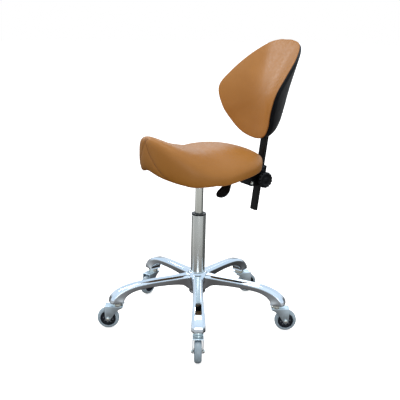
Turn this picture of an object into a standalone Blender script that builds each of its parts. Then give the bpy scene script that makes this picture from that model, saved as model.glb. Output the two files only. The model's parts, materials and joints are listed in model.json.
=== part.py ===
"""Dentist stool: saddle seat and wrap-round backrest on a gas lift and a five-star caster base.

Units are metres, +Z is up, the sitter faces -Y and has +X on the left. The floor is z = 0 and the
origin is under the centre of the whole stool, so the column stands a little off it.
"""

from math import atan2, cos, hypot, pi, radians, sin

import bmesh
import bpy
from mathutils import Matrix, Vector

# ---- driving dimensions -------------------------------------------------------------------------
GAP = 0.0003                    # clearance between solids that touch
GLUE = 0.0018                   # and between foam and the board that carries it

COLUMN_X = 0.0059               # where the column stands, so the stool's box is centred on the origin
COLUMN_Y = -0.0064

ARMS = 5
BASE_TURN = radians(-31.8)      # direction of the first arm, from +X
STEM_CIRCLE = 0.2857            # radius of the circle of caster stems
NOSE_Z = 0.0955                 # flat underside of each arm's nose
HUB_TOP = 0.178
HUB_BOTTOM = 0.100
HUB_RADIUS = 0.035
HUB_FOOT = 0.0290

WHEEL_RADIUS = 0.0375
WHEEL_SIDES = 24                # the tread is a ring of flats, and one of them meets the floor
WHEEL_WIDTH = 0.024
AXLE_Z = WHEEL_RADIUS * cos(pi / WHEEL_SIDES)
TRAIL = 0.033                   # caster axle behind its stem
CASTER_TURNS = (0, 17, -35, 109, -19)    # degrees, each fork from straight out along its arm
FORK_TOP = 0.0825
FORK_INNER = 0.0145             # half the space between the fork's cheeks
FORK_OUTER = 0.0170

TUBE_RADIUS = 0.025             # outer column tube
TUBE_BOTTOM = 0.105
TUBE_TOP = 0.385
CYLINDER_RADIUS = 0.014         # gas spring body
CYLINDER_BOTTOM = 0.235
CYLINDER_TOP = 0.518
ROD_RADIUS = 0.005

SOCKET_BOTTOM = 0.4835
HOUSING_BOTTOM = 0.5125
PLATE_BOTTOM = 0.5407           # underside of the steel seat plate
PAN_BOTTOM = 0.5450             # flat middle of the seat board's underside
PAN_THICKNESS = 0.010
PLATE_BOLTS = ((0.058, 0.048), (0.058, -0.048), (-0.058, -0.048), (-0.058, 0.048))

LEVER_Z = 0.531
LEVER_PIVOT_X = 0.022
PADDLE_ROOT = Vector((0.1015, 0.0520, 0.5150))
PADDLE_TIP = Vector((0.1600, -0.0260, 0.4880))

PIVOT_Y = 0.2009                # tilt pivot of the backrest
PIVOT_Z = 0.4784
SPACER_Y = 0.2136
SPACER_Z = 0.5206
HEIGHT_KNOB_Y = 0.2440
HEIGHT_KNOB_Z = 0.4895
TILT_KNOB_Y = 0.2400
TILT_KNOB_Z = 0.5215
EAR_INNER = 0.0235
EAR_OUTER = 0.0275
TILT_BACK = 12                  # degrees, the room that the ears' slots leave
TILT_FORWARD = 5

MAST_WIDTH = 0.036              # flat-oval back tube
MAST_DEPTH = 0.013
MAST_WALL = 0.002
MAST_LEAN = radians(7.5)
MAST_LOW = (0.2370, 0.3710)     # y and z of its lower end
MAST_BEND_Z = 0.660
MAST_UPPER = 0.080              # length above the bend

BACK_LEAN = radians(18.8)
BACK_BASE = (0.2230, 0.6390)    # y and z of the backrest's lowest front point
BACK_HEIGHT = 0.353
BACK_MIDDLE = 0.150             # height of the backrest's pole above its lower end

FINE = 32                       # sides of the large round parts, of small ones, and of holes
SMALL = 12
HOLE = 10

PARTS = "dentist_stool"
CUTTERS = "dentist_stool_cutters"

FINISHES = {
    "leather": ((0.42, 0.20, 0.075), 0.45, 0.0),
    "plywood": ((0.45, 0.30, 0.16), 0.70, 0.0),
    "shell": ((0.012, 0.013, 0.016), 0.45, 0.0),
    "hard_plastic": ((0.015, 0.015, 0.017), 0.40, 0.0),
    "black_steel": ((0.02, 0.02, 0.02), 0.35, 0.0),
    "polished_aluminium": ((0.80, 0.82, 0.84), 0.12, 1.0),
    "chrome": ((0.75, 0.77, 0.78), 0.08, 1.0),
    "brushed_steel": ((0.60, 0.60, 0.58), 0.30, 1.0),
    "tread": ((0.30, 0.34, 0.38), 0.35, 0.0),
}


# ---- scene helpers ------------------------------------------------------------------------------
def clear_scene():
    for thing in list(bpy.data.objects):
        bpy.data.objects.remove(thing, do_unlink=True)


def make_collection(name):
    group = bpy.data.collections.new(name)
    bpy.context.scene.collection.children.link(group)
    return group


def make_material(name, finish):
    colour, roughness, metallic = FINISHES[finish]
    made = bpy.data.materials.new(name)
    made.use_nodes = True
    shader = made.node_tree.nodes["Principled BSDF"]
    shader.inputs["Base Color"].default_value = (*colour, 1.0)
    shader.inputs["Roughness"].default_value = roughness
    shader.inputs["Metallic"].default_value = metallic
    made.diffuse_color = (*colour, 1.0)
    return made


def make_empty(name, location, parent=None, turn=0.0):
    empty = bpy.data.objects.new(name, None)
    bpy.data.collections[PARTS].objects.link(empty)
    empty.empty_display_size = 0.03
    empty.parent = parent
    empty.location = location
    empty.rotation_euler = (0.0, 0.0, turn)
    return empty


def make_part(name, mesh, finish, parent, location=(0, 0, 0), rotation=(0, 0, 0)):
    """Place a finished mesh as a named node with its own material."""
    part = bpy.data.objects.new(name, mesh)
    bpy.data.collections[PARTS].objects.link(part)
    part.parent = parent
    part.location = location
    part.rotation_euler = rotation
    if not mesh.materials:
        mesh.materials.append(None)
    part.material_slots[0].link = "OBJECT"
    part.material_slots[0].material = make_material(name, finish)
    return part


def make_cutter(name, mesh, matrix=None):
    cutter = bpy.data.objects.new(name, mesh)
    bpy.data.collections[CUTTERS].objects.link(cutter)
    cutter.matrix_world = matrix or Matrix()
    cutter.hide_render = True
    cutter.display_type = "WIRE"
    return cutter


def bake(worker):
    """The worker object's mesh with its modifiers applied; the worker is removed."""
    bpy.context.view_layer.update()
    graph = bpy.context.evaluated_depsgraph_get()
    mesh = bpy.data.meshes.new_from_object(worker.evaluated_get(graph))
    bpy.data.objects.remove(worker, do_unlink=True)
    return mesh


def combine(base, others, operation):
    """Boolean union or difference of a mesh with several others, as one mesh."""
    worker = make_cutter("worker", base)
    helpers = []
    for number, other in enumerate(others):
        helper = make_cutter(f"helper_{number}", other)
        helpers.append(helper)
        step = worker.modifiers.new(f"step_{number}", "BOOLEAN")
        step.operation = operation
        step.solver = "EXACT"
        step.object = helper
    mesh = bake(worker)
    for helper in helpers:
        bpy.data.objects.remove(helper, do_unlink=True)
    return mesh


def union(base, *others):
    return combine(base, others, "UNION")


def cut(base, *others):
    return combine(base, others, "DIFFERENCE")


def smooth(mesh, angle=35):
    mesh.shade_smooth()
    mesh.set_sharp_from_angle(angle=radians(angle))
    return mesh


def moved(mesh, matrix):
    copy = mesh.copy()
    copy.transform(matrix)
    return copy


def to_mesh(name, model):
    """Give a bmesh outward faces and store it."""
    bmesh.ops.recalc_face_normals(model, faces=model.faces)
    if model.calc_volume(signed=True) < 0:
        bmesh.ops.reverse_faces(model, faces=model.faces)
    mesh = bpy.data.meshes.new(name)
    model.to_mesh(mesh)
    model.free()
    return mesh


# ---- shape helpers ------------------------------------------------------------------------------
def box(low, high, bevel=0.0):
    """Axis-aligned box between two corners, with rounded edges if a bevel is given."""
    low, high = Vector(low), Vector(high)
    model = bmesh.new()
    bmesh.ops.create_cube(model, size=1.0)
    bmesh.ops.scale(model, vec=high - low, verts=model.verts)
    bmesh.ops.translate(model, vec=(low + high) / 2, verts=model.verts)
    if bevel:
        bmesh.ops.bevel(model, geom=model.edges[:], offset=bevel, segments=2, profile=0.5,
                        affect="EDGES")
    return to_mesh("box", model)


def cylinder(radius, low, high, axis="Z", centre=(0, 0, 0), segments=HOLE, top_radius=None):
    """Round bar along an axis through the centre point, from low to high on that axis."""
    model = bmesh.new()
    bmesh.ops.create_cone(model, cap_ends=True, segments=segments, radius1=radius,
                          radius2=radius if top_radius is None else top_radius, depth=high - low)
    bmesh.ops.translate(model, vec=(0, 0, (low + high) / 2), verts=model.verts)
    turn = {"Z": Matrix(), "X": Matrix.Rotation(pi / 2, 4, "Y"), "Y": Matrix.Rotation(-pi / 2, 4, "X")}
    bmesh.ops.transform(model, matrix=Matrix.Translation(centre) @ turn[axis], verts=model.verts)
    return to_mesh("cylinder", model)


def turned(profile, segments=FINE, ring=False):
    """Screw a profile of (radius, z) points about Z. A ring's profile closes on itself."""
    mesh = bpy.data.meshes.new("profile")
    points = [(radius, 0.0, z) for radius, z in profile]
    edges = [(i, i + 1) for i in range(len(points) - 1)]
    if ring:
        edges.append((len(points) - 1, 0))
    mesh.from_pydata(points, edges, [])
    worker = make_cutter("worker", mesh)
    screw = worker.modifiers.new("screw", "SCREW")
    screw.steps = segments
    screw.render_steps = segments
    screw.use_merge_vertices = True
    screw.merge_threshold = 0.00001
    return bake(worker)


def mirrored_profile(half):
    """Profile of a piece that is the same on both sides of z = 0, from its upper half."""
    return half + [(radius, -z) for radius, z in reversed(half)]


def loft(rings, first=None, last=None, loop=False):
    """Skin closed rings of equal count; each end is a flat cap, a fan to a point, or joined up."""
    model = bmesh.new()
    rows = [[model.verts.new(point) for point in ring] for ring in rings]
    pairs = list(zip(rows, rows[1:]))
    if loop:
        pairs.append((rows[-1], rows[0]))
    for row, following in pairs:
        for i in range(len(row)):
            j = (i + 1) % len(row)
            model.faces.new((row[i], row[j], following[j], following[i]))
    if not loop:
        for row, point in ((rows[0], first), (rows[-1], last)):
            if point is None:
                model.faces.new(row)
                continue
            pole = model.verts.new(point)
            for i in range(len(row)):
                model.faces.new((row[i], row[(i + 1) % len(row)], pole))
    return to_mesh("loft", model)


def prism(outline, low, high, place):
    """Solid between two copies of a flat outline; place(a, b, t) gives the point at depth t."""
    return loft([[place(a, b, t) for a, b in outline] for t in (low, high)])


def across(y, z, x):
    """Point of an outline drawn in the YZ plane, at distance x across the stool."""
    return Vector((x, y, z))


def spline(points, count, closed=False):
    """Catmull-Rom curve through the points, with count points on each span."""
    points = [Vector(point) for point in points]
    total = len(points)
    spans = total if closed else total - 1
    made = []
    for span in range(spans):
        near = [points[(span + k) % total] if closed else points[min(max(span + k, 0), total - 1)]
                for k in (-1, 0, 1, 2)]
        for step in range(count):
            t = step / count
            made.append(0.5 * (2 * near[1] + (near[2] - near[0]) * t
                               + (2 * near[0] - 5 * near[1] + 4 * near[2] - near[3]) * t ** 2
                               + (3 * near[1] - near[0] - 3 * near[2] + near[3]) * t ** 3))
    if not closed:
        made.append(points[-1])
    return made


def arc(centre, radius, start, end, steps):
    """Points on an arc in a plane, from one angle in degrees to another."""
    turns = [radians(start + (end - start) * i / steps) for i in range(steps + 1)]
    return [(centre[0] + radius * cos(turn), centre[1] + radius * sin(turn)) for turn in turns]


def oval(width, depth, steps=6):
    """Flat-oval outline with round ends, centred on the origin."""
    reach = (width - depth) / 2
    return arc((reach, 0), depth / 2, -90, 90, steps) + arc((-reach, 0), depth / 2, 90, 270, steps)


def superellipse(width, height, power, count):
    """Rounded-box outline, from a circle at power 2 towards a square."""
    outline = []
    for i in range(count):
        turn = 2 * pi * (i + 0.5) / count
        grow = (abs(cos(turn)) ** power + abs(sin(turn)) ** power) ** (-1 / power)
        outline.append((0.5 * width * grow * cos(turn), 0.5 * height * grow * sin(turn)))
    return outline


# ---- base ---------------------------------------------------------------------------------------
# Stations along an arm: radius, height, downward slope in degrees, width, depth of the section.
ARM_STATIONS = (
    (0.022, 0.1390, 0, 0.036, 0.066),
    (0.040, 0.1430, 0, 0.040, 0.056),
    (0.060, 0.1510, 1, 0.038, 0.037),
    (0.090, 0.1520, 2, 0.037, 0.030),
    (0.165, 0.1495, 4, 0.037, 0.027),
    (0.230, 0.1430, 12, 0.038, 0.026),
    (0.260, 0.1360, 28, 0.041, 0.032),
    (0.281, 0.1245, 55, 0.044, 0.042),
    (0.2905, 0.1100, 80, 0.046, 0.051),
    (0.2915, NOSE_Z, 90, 0.046, 0.053),
)
CHANNEL_STATIONS = (
    (0.058, 0.1400, 0, 0.026, 0.046),
    (0.085, 0.1430, 2, 0.028, 0.036),
    (0.165, 0.1402, 4, 0.028, 0.034),
    (0.225, 0.1320, 12, 0.028, 0.036),
    (0.243, 0.1260, 20, 0.026, 0.038),
)


def swept_arm(stations, power, count):
    rings = []
    for radius, height, slope, width, depth in stations:
        slope = radians(slope)
        up = Vector((sin(slope), 0, cos(slope)))
        centre = Vector((radius, 0, height))
        rings.append([centre + Vector((0, across_arm, 0)) + up * rise
                      for across_arm, rise in superellipse(width, depth, power, count)])
    return loft(rings)


def base_star_mesh():
    arm = swept_arm(ARM_STATIONS, 3.2, 12)
    channel = swept_arm(CHANNEL_STATIONS, 6, 8)
    stem_hole = cylinder(0.0058, NOSE_Z - 0.01, NOSE_Z + 0.034, centre=(STEM_CIRCLE, 0, 0))
    arm = cut(arm, channel, stem_hole)
    arms = [moved(arm, Matrix.Rotation(BASE_TURN + 2 * pi * i / ARMS, 4, "Z")) for i in range(ARMS)]
    hub = turned([(0.0, HUB_TOP), (HUB_RADIUS - 0.004, HUB_TOP), (HUB_RADIUS, HUB_TOP - 0.005),
                  (HUB_RADIUS, HUB_BOTTOM + 0.045), (HUB_FOOT, HUB_BOTTOM + 0.012),
                  (HUB_FOOT - 0.001, HUB_BOTTOM),
                  (0.0, HUB_BOTTOM)])
    bore = cylinder(TUBE_RADIUS + GAP, HUB_BOTTOM - 0.02, HUB_TOP + 0.02, segments=FINE)
    return smooth(cut(union(hub, *arms), bore), 30)


# ---- casters ------------------------------------------------------------------------------------
def stem_mesh():
    """Fixed stem with its domed bearing cup and the rivet head that holds the fork."""
    return smooth(turned([(0.0, 0.129), (0.0055, 0.129), (0.0055, 0.0932), (0.0150, 0.0930),
                          (0.0185, 0.0890), (0.0175, FORK_TOP + GAP), (0.0055, FORK_TOP + GAP),
                          (0.0055, 0.0797), (0.0085, 0.0797), (0.0075, 0.0770), (0.0, 0.0770)], SMALL))


def fork_mesh():
    """Pressed fork: top plate and two tapering cheeks that reach down to the axle."""
    thick = FORK_OUTER - FORK_INNER
    outline = ([(-0.0180, FORK_TOP), (-0.0180, 0.0785), (-0.004, 0.0710), (0.010, 0.0570)]
               + arc((TRAIL, AXLE_Z), 0.0090, 215, 370, 5) + [(0.0440, 0.0600), (0.0440, FORK_TOP)])
    body = prism(outline, -FORK_OUTER, FORK_OUTER, lambda a, b, t: Vector((a, t, b)))
    space = box((-0.05, -FORK_INNER, -0.05), (0.08, FORK_INNER, FORK_TOP - thick))
    stem_hole = cylinder(0.0062, FORK_TOP - 0.01, FORK_TOP + 0.01, segments=SMALL)
    axle_hole = cylinder(0.0044, -0.03, 0.03, "Y", (TRAIL, 0, AXLE_Z))
    return smooth(cut(body, space, stem_hole, axle_hole), 30)


def axle_mesh():
    """Axle with a domed head outside each cheek, along its own Z."""
    half = [(0.0, 0.0220), (0.0055, 0.0205), (0.0062, FORK_OUTER + GAP),
            (0.0040, FORK_OUTER + GAP)]
    return smooth(turned(mirrored_profile(half), HOLE))


def wheel_hub_mesh():
    """Wheel centre: rim, thin web and a bored boss."""
    rim, boss, web = 0.0262, 0.0090, 0.0045
    profile = [(0.0045, 0.0135), (boss, 0.0135), (boss + 0.001, web), (rim - 0.002, web),
               (rim, 0.0098)]
    return smooth(turned(mirrored_profile(profile), 16, ring=True), 30)


def tyre_mesh():
    """Crowned tread ring with a flat centre band; one flat is square to the floor."""
    half = WHEEL_WIDTH / 2
    profile = [(0.0266, half - 0.001), (0.0315, half - 0.0005), (0.0355, half - 0.0035),
               (WHEEL_RADIUS, 0.0045)]
    tyre = turned(mirrored_profile(profile), WHEEL_SIDES, ring=True)
    tyre.transform(Matrix.Rotation(pi / WHEEL_SIDES, 4, "Z"))
    return smooth(tyre, 25)


def build_casters(column):
    meshes = {"stem": stem_mesh(), "fork": fork_mesh(), "axle": axle_mesh(),
              "hub": wheel_hub_mesh(), "tyre": tyre_mesh()}
    finishes = {"stem": "chrome", "fork": "chrome", "axle": "chrome", "hub": "hard_plastic",
                "tyre": "tread"}
    on_axle = (pi / 2, 0, 0)
    for i in range(ARMS):
        direction = BASE_TURN + 2 * pi * i / ARMS
        place = (STEM_CIRCLE * cos(direction), STEM_CIRCLE * sin(direction), 0)
        swivel = make_empty(f"caster_{i + 1}_swivel", place, column, direction + radians(CASTER_TURNS[i]))
        wheel = make_empty(f"caster_{i + 1}_wheel", (TRAIL, 0, AXLE_Z), swivel)
        for kind, mesh in meshes.items():
            on_wheel = kind in ("axle", "hub", "tyre")
            make_part(f"caster_{i + 1}_{kind}", mesh, finishes[kind], wheel if on_wheel else swivel,
                      rotation=on_axle if on_wheel else (0, 0, 0))


# ---- gas lift -----------------------------------------------------------------------------------
def outer_tube_mesh():
    inner = TUBE_RADIUS - 0.0025
    floor = TUBE_BOTTOM + 0.006
    return smooth(turned([(TUBE_RADIUS, TUBE_TOP), (TUBE_RADIUS, TUBE_BOTTOM), (0.0056, TUBE_BOTTOM),
                          (0.0056, floor), (inner, floor), (inner, TUBE_TOP)], ring=True))


def guide_bushing_mesh():
    bore = CYLINDER_RADIUS + GAP
    sleeve = TUBE_RADIUS - 0.0025 - 2 * GAP
    flange = TUBE_TOP + GAP
    return smooth(turned([(bore, flange + 0.003), (0.0235, flange + 0.003), (0.0247, flange + 0.0015),
                          (0.0247, flange), (sleeve, flange), (sleeve, TUBE_TOP - 0.055),
                          (bore, TUBE_TOP - 0.055)], ring=True))


def thrust_bearing_mesh():
    low = TUBE_BOTTOM + 0.006 + GAP
    return smooth(turned([(0.0060, low + 0.007), (0.0180, low + 0.007), (0.0180, low), (0.0060, low)],
                         20, ring=True))


def piston_rod_mesh():
    """Rod with the collar that stands on the bearing and the piston head inside the cylinder."""
    collar = TUBE_BOTTOM + 0.0133 + 2 * GAP
    return smooth(turned([(0.0, 0.330), (0.0108, 0.330), (0.0108, 0.322), (ROD_RADIUS, 0.322),
                          (ROD_RADIUS, collar + 0.004), (0.0120, collar + 0.004), (0.0120, collar),
                          (ROD_RADIUS, collar), (ROD_RADIUS, 0.0955), (0.0, 0.0955)], SMALL))


def rod_clip_mesh():
    high = TUBE_BOTTOM - GAP
    return smooth(turned([(0.0053, high), (0.0095, high), (0.0095, high - 0.003), (0.0053, high - 0.003)],
                         SMALL, ring=True))


def gas_cylinder_mesh():
    """Cylinder with a bore for the piston, a tapered top and a blind hole for the release pin."""
    radius = CYLINDER_RADIUS
    neck = ROD_RADIUS + 0.0005
    floor = CYLINDER_BOTTOM + 0.012
    return smooth(turned([(0.0, 0.495), (0.0048, 0.495), (0.0048, CYLINDER_TOP), (0.0125, CYLINDER_TOP),
                          (0.0136, SOCKET_BOTTOM), (radius, SOCKET_BOTTOM - 0.004),
                          (radius, CYLINDER_BOTTOM), (neck, CYLINDER_BOTTOM), (neck, floor),
                          (0.0113, floor), (0.0113, 0.460), (0.0, 0.460)], 24))


def release_button_mesh():
    return smooth(turned([(0.0, 0.5265), (0.0040, 0.5265), (0.0040, 0.5010), (0.0, 0.5010)], HOLE))


def build_column(column):
    make_part("base_star", base_star_mesh(), "polished_aluminium", column)
    make_part("outer_tube", outer_tube_mesh(), "chrome", column)
    make_part("guide_bushing", guide_bushing_mesh(), "hard_plastic", column)
    make_part("thrust_bearing", thrust_bearing_mesh(), "brushed_steel", column)
    make_part("piston_rod", piston_rod_mesh(), "chrome", column)
    make_part("rod_clip", rod_clip_mesh(), "brushed_steel", column)
    make_part("gas_cylinder", gas_cylinder_mesh(), "brushed_steel", column)
    make_part("release_button", release_button_mesh(), "hard_plastic", column)


# ---- seat mechanism -----------------------------------------------------------------------------
def taper_socket_mesh():
    return smooth(turned([(0.0142, 0.5122), (0.0240, 0.5122), (0.0240, 0.5090), (0.0195, 0.5040),
                          (0.0180, SOCKET_BOTTOM), (0.0142, SOCKET_BOTTOM)], 24, ring=True))


def housing_mesh():
    """Pressed box round the lever's pivot, open at the top where the seat plate closes it."""
    top = PLATE_BOTTOM - GAP
    body = box((-0.035, -0.034, HOUSING_BOTTOM), (0.035, 0.054, top), 0.002)
    lid_cut = box((-0.032, -0.031, HOUSING_BOTTOM + 0.003), (0.032, 0.051, top + 0.01))
    trim = box((-0.040, -0.040, top - 0.0001), (0.040, 0.060, top + 0.01))
    slot = box((0.020, -0.008, LEVER_Z - 0.006), (0.045, 0.034, top + 0.01))
    neck = cylinder(0.0145, HOUSING_BOTTOM - 0.01, HOUSING_BOTTOM + 0.01, segments=24)
    pin = cylinder(0.0029, -0.04, 0.06, "Y", (LEVER_PIVOT_X, 0, LEVER_Z))
    return smooth(cut(body, lid_cut, trim, slot, neck, pin), 30)


def bolt_hole(place, radius=0.0036):
    return cylinder(radius, PLATE_BOTTOM - 0.02, PAN_BOTTOM + 0.02, centre=(*place, 0), segments=8)


def seat_plate_mesh():
    body = box((-0.075, -0.066, PLATE_BOTTOM), (0.075, 0.092, PAN_BOTTOM - GAP), 0.001)
    holes = [bolt_hole(place) for place in PLATE_BOLTS]
    holes += [bolt_hole((x, 0.076)) for x in (-0.014, 0.014)]
    return smooth(cut(body, *holes), 30)


def bolt_mesh(head_top, tip):
    """Button-head bolt with its head below head_top and its shank up to tip."""
    return smooth(turned([(0.0, tip), (0.0030, tip), (0.0030, head_top), (0.0062, head_top),
                          (0.0050, head_top - 0.0038), (0.0, head_top - 0.0038)], HOLE))


def lever_path():
    return spline([(-0.008, 0.0, LEVER_Z), (0.010, 0.0, LEVER_Z), (0.034, 0.006, LEVER_Z),
                   (0.060, 0.024, 0.529), (0.086, 0.042, 0.522), PADDLE_ROOT + Vector((0.004, 0.002, 0.0))],
                  3)


def lever_rod_mesh():
    """Bent round bar with a bored boss at the pivot."""
    path = lever_path()
    data = bpy.data.curves.new("lever_rod", "CURVE")
    data.dimensions = "3D"
    data.bevel_depth = 0.0040
    data.bevel_resolution = 2
    data.use_fill_caps = True
    line = data.splines.new("POLY")
    line.points.add(len(path) - 1)
    for point, place in zip(line.points, path):
        point.co = (*place, 1.0)
    rod = bake(make_cutter("rod", data))
    model = bmesh.new()
    model.from_mesh(rod)
    bmesh.ops.remove_doubles(model, verts=model.verts, dist=0.00001)
    rod = to_mesh("rod", model)
    boss = cylinder(0.0062, -0.007, 0.009, "Y", (LEVER_PIVOT_X, 0, LEVER_Z), SMALL)
    hole = cylinder(0.0029, -0.02, 0.02, "Y", (LEVER_PIVOT_X, 0, LEVER_Z))
    return smooth(cut(union(rod, boss), hole), 40)


def lever_pin_mesh():
    return smooth(cylinder(0.0026, -0.036, 0.056, "Y", (LEVER_PIVOT_X, 0, LEVER_Z)))


def paddle_mesh():
    """Teardrop paddle, widest near its free end, bored to take the end of the rod."""
    along = (PADDLE_TIP - PADDLE_ROOT).normalized()
    side = along.cross(Vector((0, 0, 1))).normalized()
    up = side.cross(along)
    stations = ((-0.010, 0.010, 0.010), (-0.006, 0.0165, 0.0145), (0.012, 0.021, 0.0135),
                (0.038, 0.031, 0.0095), (0.064, 0.039, 0.0085), (0.084, 0.037, 0.0080),
                (0.096, 0.026, 0.0070), (0.102, 0.012, 0.0045))
    rings = []
    for reach, width, depth in stations:
        centre = PADDLE_ROOT + along * reach
        rings.append([centre + side * a + up * b for a, b in superellipse(width, depth, 2.6, 10)])
    end = lever_path()
    line = (end[-1] - end[-2]).normalized()
    grip = line.to_track_quat("Z", "Y").to_matrix().to_4x4()
    hole = cylinder(0.0044, -0.030, 0.0010)
    return smooth(cut(loft(rings), moved(hole, Matrix.Translation(end[-1]) @ grip)), 50)


# ---- seat ---------------------------------------------------------------------------------------
# Widest line of the cushion from the front centre round the left side to the rear centre.
SEAT_WAIST = (
    (0.000, -0.2106, 0.6170), (0.051, -0.2012, 0.6045), (0.090, -0.1802, 0.5895),
    (0.128, -0.1450, 0.5705), (0.154, -0.1070, 0.5558), (0.180, -0.0300, 0.5452),
    (0.190, 0.0500, 0.5600), (0.171, 0.1220, 0.5720), (0.113, 0.1740, 0.5790),
    (0.050, 0.1900, 0.5820), (0.000, 0.1920, 0.5830),
)
SEAT_STEPS = 2


def mirrored_loop(half):
    """Closed loop of a left half from centre to centre, with its mirror image."""
    right = [(-x, y, z) for x, y, z in reversed(half[1:-1])]
    return list(half) + right


def share(value, start, end):
    """How far a value is from start to end, kept between 0 and 1."""
    return min(max((value - start) / (end - start), 0.0), 1.0)


def seat_top(x, y):
    """Height of the saddle's upper surface: raised pommel, dished middle, broad rear."""
    pommel = 1.7 * max(0.0, -0.01 - y) ** 2
    fall = (0.45 - 0.85 * share(y, 0.06, -0.20) ** 1.5) * x * x
    return 0.6220 + pommel - fall - 0.9 * max(0.0, y - 0.08) ** 2


def waist_line():
    return spline(mirrored_loop(SEAT_WAIST), SEAT_STEPS, closed=True)


def tucked(turn):
    """Line below the waist: the side rolls under by a quarter turn, furthest at the front."""
    line = []
    for waist in waist_line():
        front = share(waist.y, -0.05, -0.21)
        scale = 1 - (0.012 + 0.050 * front) * (1 - cos(turn))
        drop = (0.016 + 0.040 * front) * sin(turn)
        line.append(Vector((waist.x * scale, waist.y * scale, waist.z - drop)))
    return line


def seat_ring(scale, height):
    """Ring at a scale of the cushion's lower rim; height(rim_z) gives each point's z."""
    return [Vector((rim.x * scale, rim.y * scale, height(rim.z))) for rim in tucked(pi / 2)]


def seat_under(scale, lift=0.0):
    """Height of the board's underside: flat in the middle, then curving to the rim."""
    blend = share(scale, 0.62, 0.95) ** 2
    return lambda rim_z: PAN_BOTTOM + (rim_z + 0.004 - PAN_BOTTOM) * blend + lift


def cushion_ring(scale):
    """Ring of the upper surface, rolling over steeply at the side and most of all at the front."""
    ring = []
    for waist in waist_line():
        x, y = waist.x * scale, waist.y * scale
        front, rear = share(waist.y, -0.03, -0.21) ** 2, share(waist.y, 0.0, 0.19)
        power, root = 2.5 + 3.5 * front + 2.0 * rear, 0.50 - 0.30 * front - 0.17 * rear
        fullness = (1 - scale ** power) ** root
        ring.append(Vector((x, y, waist.z + (seat_top(x, y) - waist.z) * fullness)))
    return ring


def seat_cushion_mesh():
    upper = [cushion_ring(scale) for scale in (0.25, 0.48, 0.68, 0.82, 0.91, 0.96, 0.985, 0.997)]
    side = [tucked(turn) for turn in (0, pi / 4, pi / 2)] + [seat_ring(0.965, lambda rim_z: rim_z)]
    top = PAN_THICKNESS + GLUE
    under = [seat_ring(scale, seat_under(min(scale, 0.95), top))
             for scale in (0.965, 0.95, 0.78, 0.60, 0.30)]
    crown = (0, 0, seat_top(0, 0))
    return smooth(loft(upper + side + under, first=crown, last=(0, 0, PAN_BOTTOM + top)), 50)


def seat_pan_mesh():
    """Moulded board that carries the foam, with holes for the plate bolts."""
    lower = [seat_ring(scale, seat_under(scale)) for scale in (0.30, 0.60, 0.78, 0.95)]
    upper = [seat_ring(scale, seat_under(scale, PAN_THICKNESS)) for scale in (0.95, 0.78, 0.60, 0.30)]
    board = loft(lower + upper, first=(0, 0, PAN_BOTTOM), last=(0, 0, PAN_BOTTOM + PAN_THICKNESS))
    return smooth(cut(board, *[bolt_hole(place) for place in PLATE_BOLTS]), 30)


def build_seat(column):
    make_part("taper_socket", taper_socket_mesh(), "black_steel", column)
    make_part("mechanism_housing", housing_mesh(), "black_steel", column)
    make_part("seat_plate", seat_plate_mesh(), "black_steel", column)
    make_part("lever_rod", lever_rod_mesh(), "black_steel", column)
    make_part("lever_pin", lever_pin_mesh(), "brushed_steel", column)
    make_part("lever_paddle", paddle_mesh(), "hard_plastic", column)
    make_part("seat_pan", seat_pan_mesh(), "plywood", column)
    make_part("seat_cushion", seat_cushion_mesh(), "leather", column)
    plate_bolt = bolt_mesh(PLATE_BOTTOM - GAP, PAN_BOTTOM + 0.008)
    for number, place in enumerate(PLATE_BOLTS):
        make_part(f"seat_bolt_{number + 1}", plate_bolt, "brushed_steel", column, location=(*place, 0))


# ---- backrest mechanism -------------------------------------------------------------------------
BAR_THICKNESS = 0.006
BAR_TOP = PLATE_BOTTOM - GAP
BAR_FLAT_START = 0.060
BAR_BEND = 0.100
BAR_END = 0.186
BAR_SLOPE = 0.532


def pivot_angle(y, z):
    return atan2(z - PIVOT_Z, y - PIVOT_Y) * 180 / pi


def arc_slot(y, z, half_width=0.0046):
    """Cutter for the path of a stud at (y, z) as the backrest tilts about its pivot."""
    radius = hypot(y - PIVOT_Y, z - PIVOT_Z)
    rest = pivot_angle(y, z)
    low, high = rest - TILT_BACK - 1, rest + TILT_FORWARD + 1
    pivot = (PIVOT_Y, PIVOT_Z)
    ends = [arc(pivot, radius, angle, angle, 1)[0] for angle in (low, high)]
    outline = (arc(pivot, radius + half_width, low, high, 4)[1:-1]
               + arc(ends[1], half_width, high, high + 180, 4)
               + arc(pivot, radius - half_width, high, low, 4)[1:-1]
               + arc(ends[0], half_width, low + 180, low + 360, 4))
    return prism(outline, -0.06, 0.06, across)


def ear_mesh(low, high):
    """Quadrant plate beside the hinge block, centred on the tilt pivot."""
    pivot = (PIVOT_Y, PIVOT_Z)
    outline = (arc(pivot, 0.0670, -12, 68, 7) + [(0.206, 0.5330), (0.172, 0.5100), (0.168, 0.4950)]
               + arc(pivot, 0.0120, 170, 260, 5))
    return prism(outline, low, high, across)


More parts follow.
